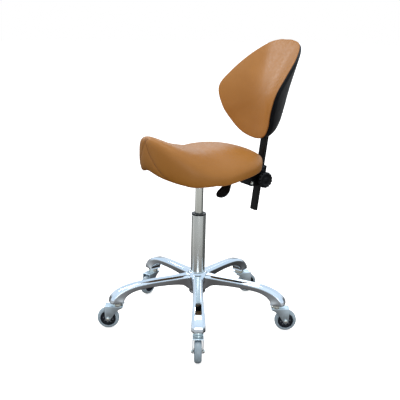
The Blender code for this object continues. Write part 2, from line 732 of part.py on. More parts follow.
def backrest_bar_mesh():
    """Flat bar under the seat, bent down to a clevis of two quadrant ears."""
    half = BAR_THICKNESS / 2
    middle = BAR_TOP - half
    drop = (BAR_END - BAR_BEND) * BAR_SLOPE
    slant = half * hypot(1, BAR_SLOPE)
    outline = [(BAR_FLAT_START, BAR_TOP), (BAR_BEND, BAR_TOP), (BAR_END, middle - drop + slant),
               (BAR_END, middle - drop - slant), (BAR_BEND - 0.001, middle - half),
               (BAR_FLAT_START, middle - half)]
    bar = prism(outline, -0.0200, 0.0200, across)
    head_outline = [(y, middle - (y - BAR_BEND) * BAR_SLOPE + side * slant)
                    for y, side in ((0.160, 1), (BAR_END, 1), (BAR_END, -1), (0.160, -1))]
    head = prism(head_outline, -EAR_OUTER, EAR_OUTER, across)
    ears = [ear_mesh(EAR_INNER, EAR_OUTER), ear_mesh(-EAR_OUTER, -EAR_INNER)]
    holes = [cylinder(0.0043, -0.06, 0.06, "X", (0, PIVOT_Y, PIVOT_Z)),
             cylinder(0.0043, -0.06, 0.06, "X", (0, SPACER_Y, SPACER_Z)),
             arc_slot(TILT_KNOB_Y, TILT_KNOB_Z), arc_slot(HEIGHT_KNOB_Y, HEIGHT_KNOB_Z)]
    holes += [bolt_hole((x, 0.076)) for x in (-0.014, 0.014)]
    return smooth(cut(union(bar, head, *ears), *holes), 30)


def mast_matrix():
    """Frame whose Z runs up the straight part of the back tube from its lower end."""
    lean = Matrix.Rotation(-MAST_LEAN, 4, "X")
    return Matrix.Translation((0, *MAST_LOW)) @ lean


def mast_point(z):
    """Centre of the back tube's straight part at a height."""
    run = (z - MAST_LOW[1]) / cos(MAST_LEAN)
    return Vector((0, MAST_LOW[0] + run * sin(MAST_LEAN), z))


def oval_ring(width, depth, centre, lean):
    ahead = Vector((0, cos(lean), -sin(lean)))
    return [centre + Vector((a, 0, 0)) + ahead * b for a, b in oval(width, depth)]


def hinge_block_mesh():
    """Cast block: a sleeve for the back tube and a lug that turns on the pivot bolt."""
    half = EAR_INNER - GAP
    low, high = 0.0960, 0.1660
    sleeve = moved(box((-half, -0.0130, low), (half, 0.0120, high), 0.002), mast_matrix())
    lug_outline = (arc((PIVOT_Y, PIVOT_Z), 0.0115, 90, 270, 6) + [(0.243, 0.4669), (0.243, 0.4935)])
    lug = prism(lug_outline, -half, half, across)
    channel = [oval_ring(MAST_WIDTH + 2 * GAP, MAST_DEPTH + 2 * GAP, mast_point(z), MAST_LEAN)
               for z in (0.44, 0.56)]
    studs = [cylinder(0.0043, 0.010, 0.04, "X", (0, y, z))
             for y, z in ((HEIGHT_KNOB_Y, HEIGHT_KNOB_Z), (TILT_KNOB_Y, TILT_KNOB_Z))]
    pivot = cylinder(0.0043, -0.06, 0.06, "X", (0, PIVOT_Y, PIVOT_Z))
    return smooth(cut(union(sleeve, lug), loft(channel), *studs, pivot), 30)


def cross_bolt_mesh():
    """Bolt across both ears with a domed head on each side, along its own Z."""
    half = [(0.0, 0.0325), (0.0055, 0.0310), (0.0062, EAR_OUTER + GAP),
            (0.0040, EAR_OUTER + GAP)]
    return smooth(turned(mirrored_profile(half), HOLE))


def knob_mesh(radius, lobes, face_low, face_high, stud_tip):
    """Fluted hand knob with its stud, along its own Z."""
    count = lobes * 4

    def outline(scale):
        ring = []
        for i in range(count):
            turn = 2 * pi * i / count
            reach = radius * (scale - 0.075 * (0.5 - 0.5 * cos(lobes * turn)) ** 1.5)
            ring.append((reach * cos(turn), reach * sin(turn)))
        return ring
    levels = ((face_low, 0.90), (face_low + 0.002, 1.0), (face_high - 0.003, 1.0), (face_high, 0.86))
    head = loft([[Vector((x, y, z)) for x, y in outline(scale)] for z, scale in levels])
    stud = cylinder(0.0040, stud_tip, face_low + 0.002)
    neck_low = EAR_OUTER + 0.0010
    if face_low - neck_low > 0.006:
        neck = cylinder(0.0085, neck_low, face_low + 0.001, segments=SMALL, top_radius=0.0110)
        return smooth(union(head, neck, stud), 35)
    return smooth(union(head, stud), 35)


def build_backrest_mechanism(column):
    along_x = (0, pi / 2, 0)
    make_part("backrest_bar", backrest_bar_mesh(), "black_steel", column)
    bar_bolt = bolt_mesh(BAR_TOP - BAR_THICKNESS - GAP, PAN_BOTTOM - 0.0008)
    for number, x in enumerate((-0.014, 0.014)):
        make_part(f"bar_bolt_{number + 1}", bar_bolt, "brushed_steel", column, location=(x, 0.076, 0))
    make_part("hinge_block", hinge_block_mesh(), "hard_plastic", column)
    cross_bolt = cross_bolt_mesh()
    make_part("pivot_bolt", cross_bolt, "brushed_steel", column, (0, PIVOT_Y, PIVOT_Z), along_x)
    make_part("spacer_bolt", cross_bolt, "brushed_steel", column, (0, SPACER_Y, SPACER_Z), along_x)
    make_part("tilt_knob", knob_mesh(0.0158, 10, 0.0300, 0.0385, 0.0196), "hard_plastic", column,
              (0, TILT_KNOB_Y, TILT_KNOB_Z), along_x)
    make_part("height_knob", knob_mesh(0.0290, 14, 0.0395, 0.0570, 0.0186), "hard_plastic", column,
              (0, HEIGHT_KNOB_Y, HEIGHT_KNOB_Z), along_x)


# ---- backrest -----------------------------------------------------------------------------------
# Edge of the pad from its lowest to its highest point, on the sitter's left: distance from the
# middle, height along the lean, and how far the edge wraps forward.
BACK_EDGE = (
    (0.000, -0.0035, 0.000), (0.062, 0.0065, 0.016), (0.106, 0.037, 0.046), (0.138, 0.079, 0.081),
    (0.161, 0.140, 0.101), (0.151, 0.208, 0.075), (0.126, 0.280, 0.036), (0.084, 0.335, 0.004),
    (0.036, 0.352, -0.003), (0.000, BACK_HEIGHT, -0.003),
)
BACK_STEPS = 2


def back_frame():
    """Frame with X across, Y forward out of the pad, and Z up the lean."""
    lean = Matrix.Rotation(-BACK_LEAN, 4, "X")
    return Matrix.Translation((0, *BACK_BASE)) @ lean @ Matrix.Scale(-1, 4, (0, 1, 0))


def back_point(across_pad, height, forward):
    return back_frame() @ Vector((across_pad, forward, height))


def lumbar(height):
    return 0.018 * max(0.0, sin(pi * height / BACK_HEIGHT)) ** 0.8


def back_layer(scale, depth):
    """Ring of the pad's front surface at a scale of its edge, set back by depth(scale, height)."""
    ring = []
    for edge in spline(mirrored_loop(BACK_EDGE), BACK_STEPS, closed=True):
        height = BACK_MIDDLE + (edge.y - BACK_MIDDLE) * scale
        forward = lumbar(height) * (1 - scale ** 2) + edge.z * scale ** 2
        ring.append(back_point(edge.x * scale, height, forward - depth(scale, height)))
    return ring


def back_pole(depth):
    return back_point(0, BACK_MIDDLE, lumbar(BACK_MIDDLE) - depth(0.0, BACK_MIDDLE))


def pad_depth(scale, height):
    return 0.0055 + 0.0165 * (1 - scale ** 2)


def board_depth(scale, height):
    return pad_depth(scale, height) + 0.0050


def shell_depth(scale, height):
    """The cover is fullest low in the middle, round the tube's bracket, and thins to its rim."""
    thick = 0.0775 - 0.14 * max(0.0, height - BACK_MIDDLE)
    power = 1.8 + 2.45 * max(0.0, 1 - height / BACK_MIDDLE)
    return max(0.0185 + (thick - 0.0185) * (1 - scale ** power), board_depth(scale, height) + 0.0045)


def further(depth, extra):
    return lambda scale, height: depth(scale, height) + extra


def nothing(scale, height):
    return 0.0


def rolled(amount):
    return lambda scale, height: amount


def back_cushion_mesh():
    face = [back_layer(scale, nothing) for scale in (0.25, 0.50, 0.72, 0.88)]
    side = [back_layer(0.97, rolled(0.0005)), back_layer(1.0, rolled(0.0028)), back_layer(0.985, pad_depth)]
    rear = [back_layer(scale, pad_depth) for scale in (0.90, 0.72, 0.50, 0.25)]
    return smooth(loft(face + side + rear, first=back_pole(nothing), last=back_pole(pad_depth)), 60)


def back_board_mesh():
    """Curved board that the foam is glued to."""
    near = further(pad_depth, GLUE)
    front = [back_layer(scale, near) for scale in (0.25, 0.50, 0.72, 0.90)]
    rear = [back_layer(scale, board_depth) for scale in (0.90, 0.72, 0.50, 0.25)]
    return smooth(loft(front + rear, first=back_pole(near), last=back_pole(board_depth)), 60)


def shell_inside(scale, height):
    """The cavity's wall follows the outside, and meets the pad's rear near the rim."""
    wall = shell_depth(scale, height) - 0.003
    return max(wall, board_depth(scale, height) + 0.0015)


def back_shell_mesh():
    """Moulded rear cover, open towards the pad, with a slot in its lower edge for the tube."""
    outside = [back_layer(scale, shell_depth) for scale in (0.25, 0.50, 0.72, 0.88, 0.97)]
    rim = [back_layer(0.995, rolled(0.0126)), back_layer(0.995, further(pad_depth, GAP)),
           back_layer(0.930, further(pad_depth, GAP))]
    inside = [back_layer(scale, shell_inside) for scale in (0.925, 0.72, 0.50, 0.25)]
    shell = loft(outside + rim + inside, first=back_pole(shell_depth), last=back_pole(shell_inside))
    centre = mast_point(0.640)
    gap_for_tube = [oval_ring(0.041, 0.018, centre + Vector((0, rise * sin(MAST_LEAN), rise)), MAST_LEAN)
                    for rise in (-0.05, 0.035)]
    return smooth(cut(shell, loft(gap_for_tube)), 50)


def mast_path():
    """Stations of the back tube: centre and lean, straight, then bent to follow the pad."""
    bend = mast_point(MAST_BEND_Z)
    stations = [(mast_point(MAST_LOW[1]), MAST_LEAN), (mast_point(MAST_BEND_Z - 0.016), MAST_LEAN)]
    turn = BACK_LEAN - MAST_LEAN
    for part in (0.33, 0.67):
        lean = MAST_LEAN + turn * part
        stations.append((bend + Vector((0, 0.0008, (part - 0.5) * 0.030)), lean))
    for run in (0.016, MAST_UPPER):
        along = Vector((0, sin(BACK_LEAN), cos(BACK_LEAN)))
        stations.append((bend + along * run, BACK_LEAN))
    return stations


def back_tube_mesh():
    outer = [oval_ring(MAST_WIDTH, MAST_DEPTH, centre, lean) for centre, lean in mast_path()]
    inner = [oval_ring(MAST_WIDTH - 2 * MAST_WALL, MAST_DEPTH - 2 * MAST_WALL, centre, lean)
             for centre, lean in mast_path()]
    return smooth(loft(outer + inner[::-1], loop=True), 40)


def tube_cap_mesh():
    """Plug in the back tube's lower end, with a thin flange over the cut."""
    matrix = mast_matrix()
    plug = 2 * (MAST_WALL + GAP)
    levels = ((-0.0030, 0.0010), (-0.0025, 0.0), (-GAP, 0.0), (-GAP, plug), (0.012, plug))
    rings = [[matrix @ Vector((a, b, z)) for a, b in oval(MAST_WIDTH - less, MAST_DEPTH - less)]
             for z, less in levels]
    return smooth(loft(rings), 40)


def back_bracket_mesh():
    """Steel plate behind the board, with a welded sleeve round the top of the tube."""
    plate = box((-0.036, -0.0206, 0.064), (0.036, -0.0178, 0.138), 0.001)
    sleeve = box((-0.0225, -0.0512, 0.068), (0.0225, -0.0190, 0.104), 0.001)
    bend = mast_point(MAST_BEND_Z)
    along = Vector((0, sin(BACK_LEAN), cos(BACK_LEAN)))
    hole = [oval_ring(MAST_WIDTH + 2 * GAP, MAST_DEPTH + 2 * GAP, bend + along * run, BACK_LEAN)
            for run in (0.005, 0.140)]
    placed = [moved(piece, back_frame()) for piece in (plate, sleeve)]
    for piece in placed:
        piece.flip_normals()
    return smooth(cut(union(*placed), loft(hole)), 30)


def build_backrest(column):
    make_part("back_tube", back_tube_mesh(), "black_steel", column)
    make_part("tube_cap", tube_cap_mesh(), "hard_plastic", column)
    make_part("back_bracket", back_bracket_mesh(), "black_steel", column)
    make_part("back_board", back_board_mesh(), "plywood", column)
    make_part("back_shell", back_shell_mesh(), "shell", column)
    make_part("back_cushion", back_cushion_mesh(), "leather", column)


def main():
    clear_scene()
    make_collection(PARTS)
    make_collection(CUTTERS)
    column = make_empty("column_axis", (COLUMN_X, COLUMN_Y, 0))
    build_column(column)
    build_casters(column)
    build_seat(column)
    build_backrest_mechanism(column)
    build_backrest(column)


main()
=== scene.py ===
"""Looks of the dentist stool: leather saddle, moulded backrest, polished base, studio and camera.

Metres, +Z up, the sitter faces -Y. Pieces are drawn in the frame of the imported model; those drawn
"about the column" have x and y from the column's axis and are then moved there.
"""

import json
from math import atan2, cos, degrees, exp, hypot, pi, radians, sin, sqrt

import bmesh
import bpy
from mathutils import Matrix, Vector, noise
from mathutils.bvhtree import BVHTree
from mathutils.kdtree import KDTree


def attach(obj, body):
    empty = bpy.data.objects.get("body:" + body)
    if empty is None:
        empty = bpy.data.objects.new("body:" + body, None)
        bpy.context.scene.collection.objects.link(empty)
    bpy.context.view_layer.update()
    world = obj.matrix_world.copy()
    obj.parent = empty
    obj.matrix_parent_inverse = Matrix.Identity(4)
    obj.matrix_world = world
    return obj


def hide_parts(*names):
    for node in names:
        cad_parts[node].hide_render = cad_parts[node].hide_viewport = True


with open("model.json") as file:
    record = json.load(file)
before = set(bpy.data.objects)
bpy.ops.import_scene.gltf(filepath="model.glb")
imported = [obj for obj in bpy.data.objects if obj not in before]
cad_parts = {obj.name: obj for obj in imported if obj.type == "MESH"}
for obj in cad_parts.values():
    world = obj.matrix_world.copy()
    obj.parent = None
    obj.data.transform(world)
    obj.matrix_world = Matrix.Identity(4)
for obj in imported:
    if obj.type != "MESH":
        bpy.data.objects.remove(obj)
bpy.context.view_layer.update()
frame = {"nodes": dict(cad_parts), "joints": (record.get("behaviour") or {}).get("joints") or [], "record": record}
JOINTS = {joint["name"]: joint for joint in frame["joints"]}
COLUMN = Vector(JOINTS["seat_swivel"]["pos_m"])
COLUMN.z = 0.0
AT_COLUMN = Matrix.Translation(COLUMN)
ARMS = 5
BASE_TURN = radians(-31.8)


# ---- meshes -------------------------------------------------------------------------------------
def shift(x, y, z):
    return Matrix.Translation((x, y, z))


def turned(angle, axis):
    return Matrix.Rotation(angle, 4, axis)


def link(name, data):
    piece = bpy.data.objects.new(name, data)
    bpy.context.scene.collection.objects.link(piece)
    return piece


def smooth(mesh, sharp):
    mesh.shade_smooth()
    mesh.set_sharp_from_angle(angle=radians(sharp))


def link_smooth(name, mesh, sharp=35):
    smooth(mesh, sharp)
    return link(name, mesh)


def from_model(name, model, sharp=35):
    bmesh.ops.recalc_face_normals(model, faces=model.faces)
    if model.calc_volume(signed=True) < 0:
        bmesh.ops.reverse_faces(model, faces=model.faces)
    mesh = bpy.data.meshes.new(name)
    model.to_mesh(mesh)
    model.free()
    return link_smooth(name, mesh, sharp)


def loft(name, rings, first=None, last=None, loop=False, sharp=35):
    """Skin closed rings of equal count; an end is a flat cap, a fan to a point, or joined up."""
    model = bmesh.new()
    rows = [[model.verts.new(point) for point in ring] for ring in rings]
    pairs = list(zip(rows, rows[1:])) + ([(rows[-1], rows[0])] if loop else [])
    for row, following in pairs:
        for i, vert in enumerate(row):
            j = (i + 1) % len(row)
            model.faces.new((vert, row[j], following[j], following[i]))
    if not loop:
        for row, point in ((rows[0], first), (rows[-1], last)):
            if point is None:
                model.faces.new(row)
                continue
            pole = model.verts.new(point)
            for i, vert in enumerate(row):
                model.faces.new((vert, row[(i + 1) % len(row)], pole))
    return from_model(name, model, sharp)


def filleted(points, radius, steps=4, closed=True):
    """Outline with its corners rounded; a point may carry its own radius as a third value."""
    made = []
    total = len(points)
    for i, point in enumerate(points):
        here = Vector(point[:2])
        reach = point[2] if len(point) > 2 else radius
        if not closed and i in (0, total - 1) or reach <= 0:
            made.append(tuple(here))
            continue
        before = Vector(points[i - 1][:2]) - here
        after = Vector(points[(i + 1) % total][:2]) - here
        half = before.angle(after) / 2
        run = min(reach / max(sin(half) / cos(half), 1e-6), 0.45 * before.length,
                  0.45 * after.length)
        start = here + before.normalized() * run
        end = here + after.normalized() * run
        for k in range(steps + 1):
            t = k / steps
            made.append(tuple(start * (1 - t) ** 2 + here * 2 * t * (1 - t) + end * t ** 2))
    return made


def lathe(name, profile, segments=64, radius=0.0, steps=4):
    """Turn an outline of (distance, height) about Z; one that starts on the axis ends there."""
    closed = profile[0][0] > 0
    outline = filleted(profile, radius, steps, closed)
    model = bmesh.new()
    rows = []
    for reach, height in outline:
        if reach < 1e-7:
            rows.append([model.verts.new((0, 0, height))])
            continue
        turns = [2 * pi * i / segments for i in range(segments)]
        rows.append([model.verts.new((reach * cos(turn), reach * sin(turn), height))
                     for turn in turns])
    pairs = list(zip(rows, rows[1:])) + ([(rows[-1], rows[0])] if closed else [])
    for row, following in pairs:
        for i in range(segments):
            j = (i + 1) % segments
            corners = [row[i % len(row)], row[j % len(row)], following[j % len(following)],
                       following[i % len(following)]]
            corners = list(dict.fromkeys(corners))
            if len(corners) > 2:
                model.faces.new(corners)
    return from_model(name, model)


def prism(name, outline, low, high, place, radius=0.0):
    """Solid between two copies of an outline; place gives the spot of a point at a depth."""
    outline = filleted(outline, radius)
    return loft(name, [[place(*point, depth) for point in outline] for depth in (low, high)])


def spline(points, count, closed=False):
    """Catmull-Rom curve through the points, with count points on each span."""
    points = [Vector(point) for point in points]
    total = len(points)
    made = []
    for span in range(total if closed else total - 1):
        near = [points[(span + k) % total] if closed else points[min(max(span + k, 0), total - 1)]
                for k in (-1, 0, 1, 2)]
        for step in range(count):
            t = step / count
            made.append(0.5 * (2 * near[1] + (near[2] - near[0]) * t
                               + (2 * near[0] - 5 * near[1] + 4 * near[2] - near[3]) * t ** 2
                               + (3 * near[1] - near[0] - 3 * near[2] + near[3]) * t ** 3))
    if not closed:
        made.append(points[-1])
    return made


def stations(rows, count):
    """Rows of numbers, resampled smoothly."""
    width = len(rows[0])
    columns = [spline([(row[k], 0, 0) for row in rows], count) for k in range(width)]
    return [[column[i].x for column in columns] for i in range(len(columns[0]))]


def arc(centre, radius, start, end, steps):
    turns = [radians(start + (end - start) * i / steps) for i in range(steps + 1)]
    return [(centre[0] + radius * cos(turn), centre[1] + radius * sin(turn)) for turn in turns]


def oval(width, depth):
    reach = (width - depth) / 2
    return arc((reach, 0), depth / 2, -90, 90, 14) + arc((-reach, 0), depth / 2, 90, 270, 14)


def superellipse(width, height, power, count):
    outline = []
    for i in range(count):
        turn = 2 * pi * (i + 0.5) / count
        grow = (abs(cos(turn)) ** power + abs(sin(turn)) ** power) ** (-1 / power)
        outline.append((0.5 * width * grow * cos(turn), 0.5 * height * grow * sin(turn)))
    return outline


def tube(name, path, radius, sides=12, closed=False):
    """Round tube along a path of points."""
    path = [Vector(point) for point in path]
    total = len(path)
    rings = []
    up = Vector((0, 0, 1))
    for i, point in enumerate(path):
        ahead = path[(i + 1) % total] if closed or i + 1 < total else point
        behind = path[i - 1] if closed or i else point
        along = (ahead - behind).normalized()
        side = along.cross(up)
        side = side.normalized() if side.length > 1e-3 else Vector((1, 0, 0))
        up = side.cross(along).normalized()
        rings.append([point + side * (radius * cos(2 * pi * k / sides))
                      + up * (radius * sin(2 * pi * k / sides)) for k in range(sides)])
    return loft(name, rings, loop=closed, sharp=60)


def block(name, low, high, bevel, segments=3):
    low, high = Vector(low), Vector(high)
    model = bmesh.new()
    bmesh.ops.create_cube(model, size=1.0)
    bmesh.ops.scale(model, vec=high - low, verts=model.verts)
    bmesh.ops.translate(model, vec=(low + high) / 2, verts=model.verts)
    if bevel:
        bmesh.ops.bevel(model, geom=model.edges[:], offset=bevel, segments=segments, profile=0.5,
                        affect="EDGES")
    return from_model(name, model)


def move(piece, matrix):
    piece.data.transform(matrix)
    return piece


def modify(piece, kind, sharp=35, **settings):
    """Apply one modifier to the piece."""
    step = piece.modifiers.new("step", kind)
    for key, value in settings.items():
        setattr(step, key, value)
    return apply(piece, sharp)


def apply(piece, sharp):
    """Bake the piece's modifiers into its mesh."""
    bpy.context.view_layer.update()
    graph = bpy.context.evaluated_depsgraph_get()
    mesh = bpy.data.meshes.new_from_object(piece.evaluated_get(graph))
    piece.modifiers.clear()
    piece.data = mesh
    smooth(mesh, sharp)
    return piece


def refine(piece):
    return modify(piece, "SUBSURF", 60, levels=1, render_levels=1)


def boolean(piece, others, operation="DIFFERENCE", sharp=35):
    for other in others:
        step = piece.modifiers.new("step", "BOOLEAN")
        step.operation = operation
        step.object = other
    apply(piece, sharp)
    for other in others:
        bpy.data.objects.remove(other, do_unlink=True)
    return piece


def round_edges(piece, width, segments, angle):
    return modify(piece, "BEVEL", angle, width=width, segments=segments, limit_method="ANGLE",
                  angle_limit=radians(angle), harden_normals=False)


def join(name, pieces):
    """One object from several loose solids."""
    model = bmesh.new()
    for piece in pieces:
        model.from_mesh(piece.data)
    mesh = bpy.data.meshes.new(name)
    model.to_mesh(mesh)
    model.free()
    for piece in pieces:
        bpy.data.objects.remove(piece, do_unlink=True)
    return link_smooth(name, mesh)


def fused(name, pieces, voxel, rounds):
    """Melt solids together, with small fillets where they meet."""
    piece = join(name, pieces)
    melt = piece.modifiers.new("melt", "REMESH")
    melt.mode = "VOXEL"
    melt.voxel_size = voxel
    melt.use_smooth_shade = True
    return modify(piece, "SMOOTH", 60, factor=0.5, iterations=rounds)


# ---- materials ----------------------------------------------------------------------------------
def add_node(tree, kind, inputs=None, **settings):
    """A shader node with its settings; each input is given a value or a socket to follow."""
    made = tree.nodes.new(kind)
    for key, value in settings.items():
        setattr(made, key, value)
    for key, value in (inputs or {}).items():
        feed(tree, made.inputs[key], value)
    return made


def feed(tree, socket, value):
    if isinstance(value, bpy.types.NodeSocket):
        tree.links.new(value, socket)
    else:
        socket.default_value = value


def mixed(tree, amount, first, second):
    """Colour between the first and the second."""
    made = add_node(tree, "ShaderNodeMix", data_type="RGBA")
    for key, value in (("Factor", amount), ("A", first), ("B", second)):
        socket = [s for s in made.inputs if s.name == key and s.enabled][0]
        feed(tree, socket, (*value, 1.0) if isinstance(value, tuple) else value)
    return [s for s in made.outputs if s.enabled][0]


def remapped(tree, value, start, end, low, high):
    return add_node(tree, "ShaderNodeMapRange", {"Value": value, "From Min": start, "From Max": end,
                                                 "To Min": low, "To Max": high}).outputs["Result"]


class Paint:
    """A material with its Principled shader, and short ways to add nodes to it."""

    def __init__(self, name, colour, roughness, metallic=0.0, **more):
        self.material = bpy.data.materials.new(name)
        self.material.use_nodes = True
        self.tree = self.material.node_tree
        self.shader = self.tree.nodes["Principled BSDF"]
        self.shader.inputs["Base Color"].default_value = (*colour, 1.0)
        self.shader.inputs["Roughness"].default_value = roughness
        self.shader.inputs["Metallic"].default_value = metallic
        for key, value in more.items():
            key = key.replace("_", " ").title().replace("Ior", "IOR")
            self.shader.inputs[key].default_value = value
        self.material.diffuse_color = (*colour, 1.0)
        self.place = add_node(self.tree, "ShaderNodeTexCoord").outputs["Object"]

    def noise(self, scale, detail=3.0, rough=0.5, stretch=(1, 1, 1)):
        place = add_node(self.tree, "ShaderNodeMapping", {"Vector": self.place, "Scale": stretch})
        return add_node(self.tree, "ShaderNodeTexNoise",
                        {"Vector": place.outputs[0], "Scale": scale, "Detail": detail,
                         "Roughness": rough}).outputs["Fac"]

    def cells(self, scale):
        return add_node(self.tree, "ShaderNodeTexVoronoi",
                        {"Vector": self.place, "Scale": scale}).outputs["Distance"]

    def ramp(self, value, low, high, start=0.3, end=0.7):
        return remapped(self.tree, value, start, end, low, high)

    def mix(self, amount, first, second):
        return mixed(self.tree, amount, first, second)

    def to(self, name, value):
        self.tree.links.new(value, self.shader.inputs[name])

    def bump(self, *layers):
        """Layers of (height, strength, distance), the broadest first."""
        normal = None
        for height, strength, distance in layers:
            inputs = {"Height": height, "Strength": strength, "Distance": distance}
            if normal:
                inputs["Normal"] = normal
            normal = add_node(self.tree, "ShaderNodeBump", inputs).outputs["Normal"]
        self.to("Normal", normal)


def leather_paint(name, light, dark, roughness=0.4):
    paint = Paint(name, light, roughness, specular_ior_level=0.42)
    tone = paint.mix(paint.ramp(paint.noise(9, 4, 0.55), 0.0, 1.0), light, dark)
    pores = paint.cells(900)
    fine = paint.noise(2600, 2)
    tone = paint.mix(paint.ramp(pores, 0.1, 0.0, 0.0, 0.5), tone, tuple(0.55 * c for c in dark))
    paint.to("Base Color", tone)
    paint.to("Roughness", paint.ramp(paint.noise(120, 4), roughness - 0.05, roughness + 0.08))
    paint.bump((paint.noise(38, 2, 0.4), 0.1, 0.0012), (pores, 0.14, 0.0004), (fine, 0.1, 0.0001))
    return paint.material


def metal_paint(name, colour, roughness, spread=0.03, wave=0.0, grain=0.0, stretch=(1, 1, 1),
                scale=90):
    paint = Paint(name, colour, roughness, 1.0)
    streak = paint.noise(scale, 4, 0.6, stretch)
    paint.to("Roughness", paint.ramp(streak, roughness - spread, roughness + spread))
    layers = []
    if wave:
        layers.append((paint.noise(22, 2, 0.4), wave, 0.002))
    if grain:
        layers.append((paint.noise(scale * 4, 3, 0.6, stretch), grain, 0.0002))
    if layers:
        paint.bump(*layers)
    return paint.material


def plastic_paint(name, colour, roughness, texture=0.12, scale=1500, **more):
    paint = Paint(name, colour, roughness, **more)
    lighter = tuple(min(1.0, 1.35 * c + 0.002) for c in colour)
    paint.to("Base Color", paint.mix(paint.ramp(paint.noise(30, 4), 0.0, 1.0), colour, lighter))
    paint.to("Roughness", paint.ramp(paint.noise(60, 5), roughness - 0.05, roughness + 0.07))
    paint.bump((paint.noise(scale, 2), texture, 0.0002))
    return paint.material


def wood_paint():
    paint = Paint("plywood", (0.42, 0.27, 0.14), 0.65)
    grain = paint.noise(30, 5, 0.6, (6, 0.6, 6))
    light, dark = (0.5, 0.34, 0.19), (0.33, 0.2, 0.1)
    paint.to("Base Color", paint.mix(paint.ramp(grain, 0.0, 1.0), light, dark))
    paint.bump((grain, 0.2, 0.0004))
    return paint.material


PAINTS = {
    "leather": leather_paint("leather", (0.41, 0.168, 0.026), (0.368, 0.145, 0.019), 0.44),
    "leather_piping": leather_paint("leather_piping", (0.4, 0.165, 0.045), (0.35, 0.14, 0.034),
                                    0.4),
    "leather_seam": leather_paint("leather_seam", (0.2, 0.08, 0.022), (0.17, 0.068, 0.018), 0.6),
    "leather_thread": plastic_paint("leather_thread", (0.3, 0.125, 0.04), 0.6),
    "plywood": wood_paint(),
    "shell": plastic_paint("shell", (0.005, 0.0055, 0.0075), 0.34, 0.25, 900,
                           specular_ior_level=0.26),
    "hard_plastic": plastic_paint("hard_plastic", (0.004, 0.0045, 0.006), 0.28, 0.15, 1200,
                                  specular_ior_level=0.22),
    "hub_plastic": plastic_paint("hub_plastic", (0.008, 0.011, 0.017), 0.22, 0.08, 1200,
                                 specular_ior_level=0.35),
    "black_steel": plastic_paint("black_steel", (0.003, 0.0032, 0.0036), 0.3, 0.22, 500,
                                 specular_ior_level=0.16, coat_weight=0.05, coat_roughness=0.15),
    "polished_aluminium": metal_paint("polished_aluminium", (0.78, 0.85, 0.92), 0.08, 0.03,
                                      wave=0.05),
    "chrome": metal_paint("chrome", (0.78, 0.8, 0.77), 0.24, 0.05, grain=0.05, stretch=(1, 1, 0.03),
                          scale=220),
    "brushed_steel": metal_paint("brushed_steel", (0.84, 0.85, 0.79), 0.2, 0.05, grain=0.04,
                                 stretch=(1, 1, 0.03), scale=260),
    "zinc": metal_paint("zinc", (0.68, 0.79, 0.86), 0.34, 0.06, wave=0.05, grain=0.04),
    "tread": plastic_paint("tread", (0.33, 0.41, 0.47), 0.22, 0.06, 300, transmission_weight=0.2,
                           ior=1.48),
}

def paint_frame():
    """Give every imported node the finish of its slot."""
    for entry in frame["record"]["subparts"]:
        mesh = frame["nodes"][entry["node"]].data
        mesh.materials.clear()
        mesh.materials.append(PAINTS[entry["material_slot"]])


def put(piece, paint, body, slot, nodes=(), place=AT_COLUMN):
    """Finish a piece: its paint, the body it rides on and the nodes it stands for; the slot argument is not used.
    """
    piece.data.materials.clear()
    piece.data.materials.append(PAINTS[paint])
    piece.data.transform(place)
    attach(piece, body)
    if nodes:
        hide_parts(*nodes)
    return piece


# ---- seat ---------------------------------------------------------------------------------------
# Widest line of the cushion from the front centre round the left side to the rear centre.
SEAT_WAIST = (
    (0.0, -0.2106, 0.617), (0.051, -0.2012, 0.6045), (0.09, -0.1802, 0.5895),
    (0.128, -0.145, 0.5705), (0.154, -0.107, 0.5558), (0.18, -0.03, 0.5452),
    (0.19, 0.05, 0.56), (0.171, 0.122, 0.572), (0.113, 0.174, 0.579),
    (0.05, 0.19, 0.582), (0.0, 0.192, 0.583),
)
PAN_BOTTOM = 0.545
PAN_THICKNESS = 0.01
FOAM_BOTTOM = PAN_THICKNESS + 0.0018
APRON_SEAM = ((-0.012, -0.209, 0.668), (0.006, -0.208, 0.645), (0.03, -0.205, 0.61),
              (0.054, -0.198, 0.58), (0.077, -0.186, 0.553), (0.089, -0.176, 0.54))
SEAM_DEPTH, SEAM_WIDTH = 0.0016, 0.0042
STITCH_PITCH, STITCH_SIZE, STITCH_OFFSET = 0.0045, 0.0007, 0.0038


def mirrored_loop(half):
    return list(half) + [(-x, y, z) for x, y, z in reversed(half[1:-1])]


def share(value, start, end):
    """How far a value is from start to end, kept between 0 and 1."""
    return min(max((value - start) / (end - start), 0.0), 1.0)


def seat_top(x, y):
    """Height of the saddle's upper surface: raised pommel, dished middle, broad rear."""
    pommel = 1.7 * max(0.0, -0.01 - y) ** 2
    fall = (0.45 - 0.85 * share(y, 0.06, -0.2) ** 1.5) * x * x
    return 0.622 + pommel - fall - 0.9 * max(0.0, y - 0.08) ** 2


def waist_line(steps):
    return spline(mirrored_loop(SEAT_WAIST), steps, closed=True)


def seat_skin(waist, scale):
    """Point of the upper surface, rolling over steeply at the side and most of all at the front."""
    x, y = waist.x * scale, waist.y * scale
    front, rear = share(waist.y, -0.03, -0.21) ** 2, share(waist.y, 0.0, 0.19)
    power, root = 2.5 + 3.5 * front + 2.0 * rear, 0.5 - 0.3 * front - 0.17 * rear
    fullness = (1 - scale ** power) ** root
    return Vector((x, y, waist.z + (seat_top(x, y) - waist.z) * fullness))


def tucked(waist, turn):
    """Point below the waist: the side rolls under by a quarter turn, furthest at the front."""
    front = share(waist.y, -0.05, -0.21)
    scale = 1 - (0.012 + 0.05 * front) * (1 - cos(turn))
    drop = (0.016 + 0.04 * front) * sin(turn)
    return drawn_in(waist, scale, waist.z - drop)


def drawn_in(point, scale, height):
    """The point nearer to the column by a scale, at its own height."""
    return Vector((point.x * scale, point.y * scale, height))


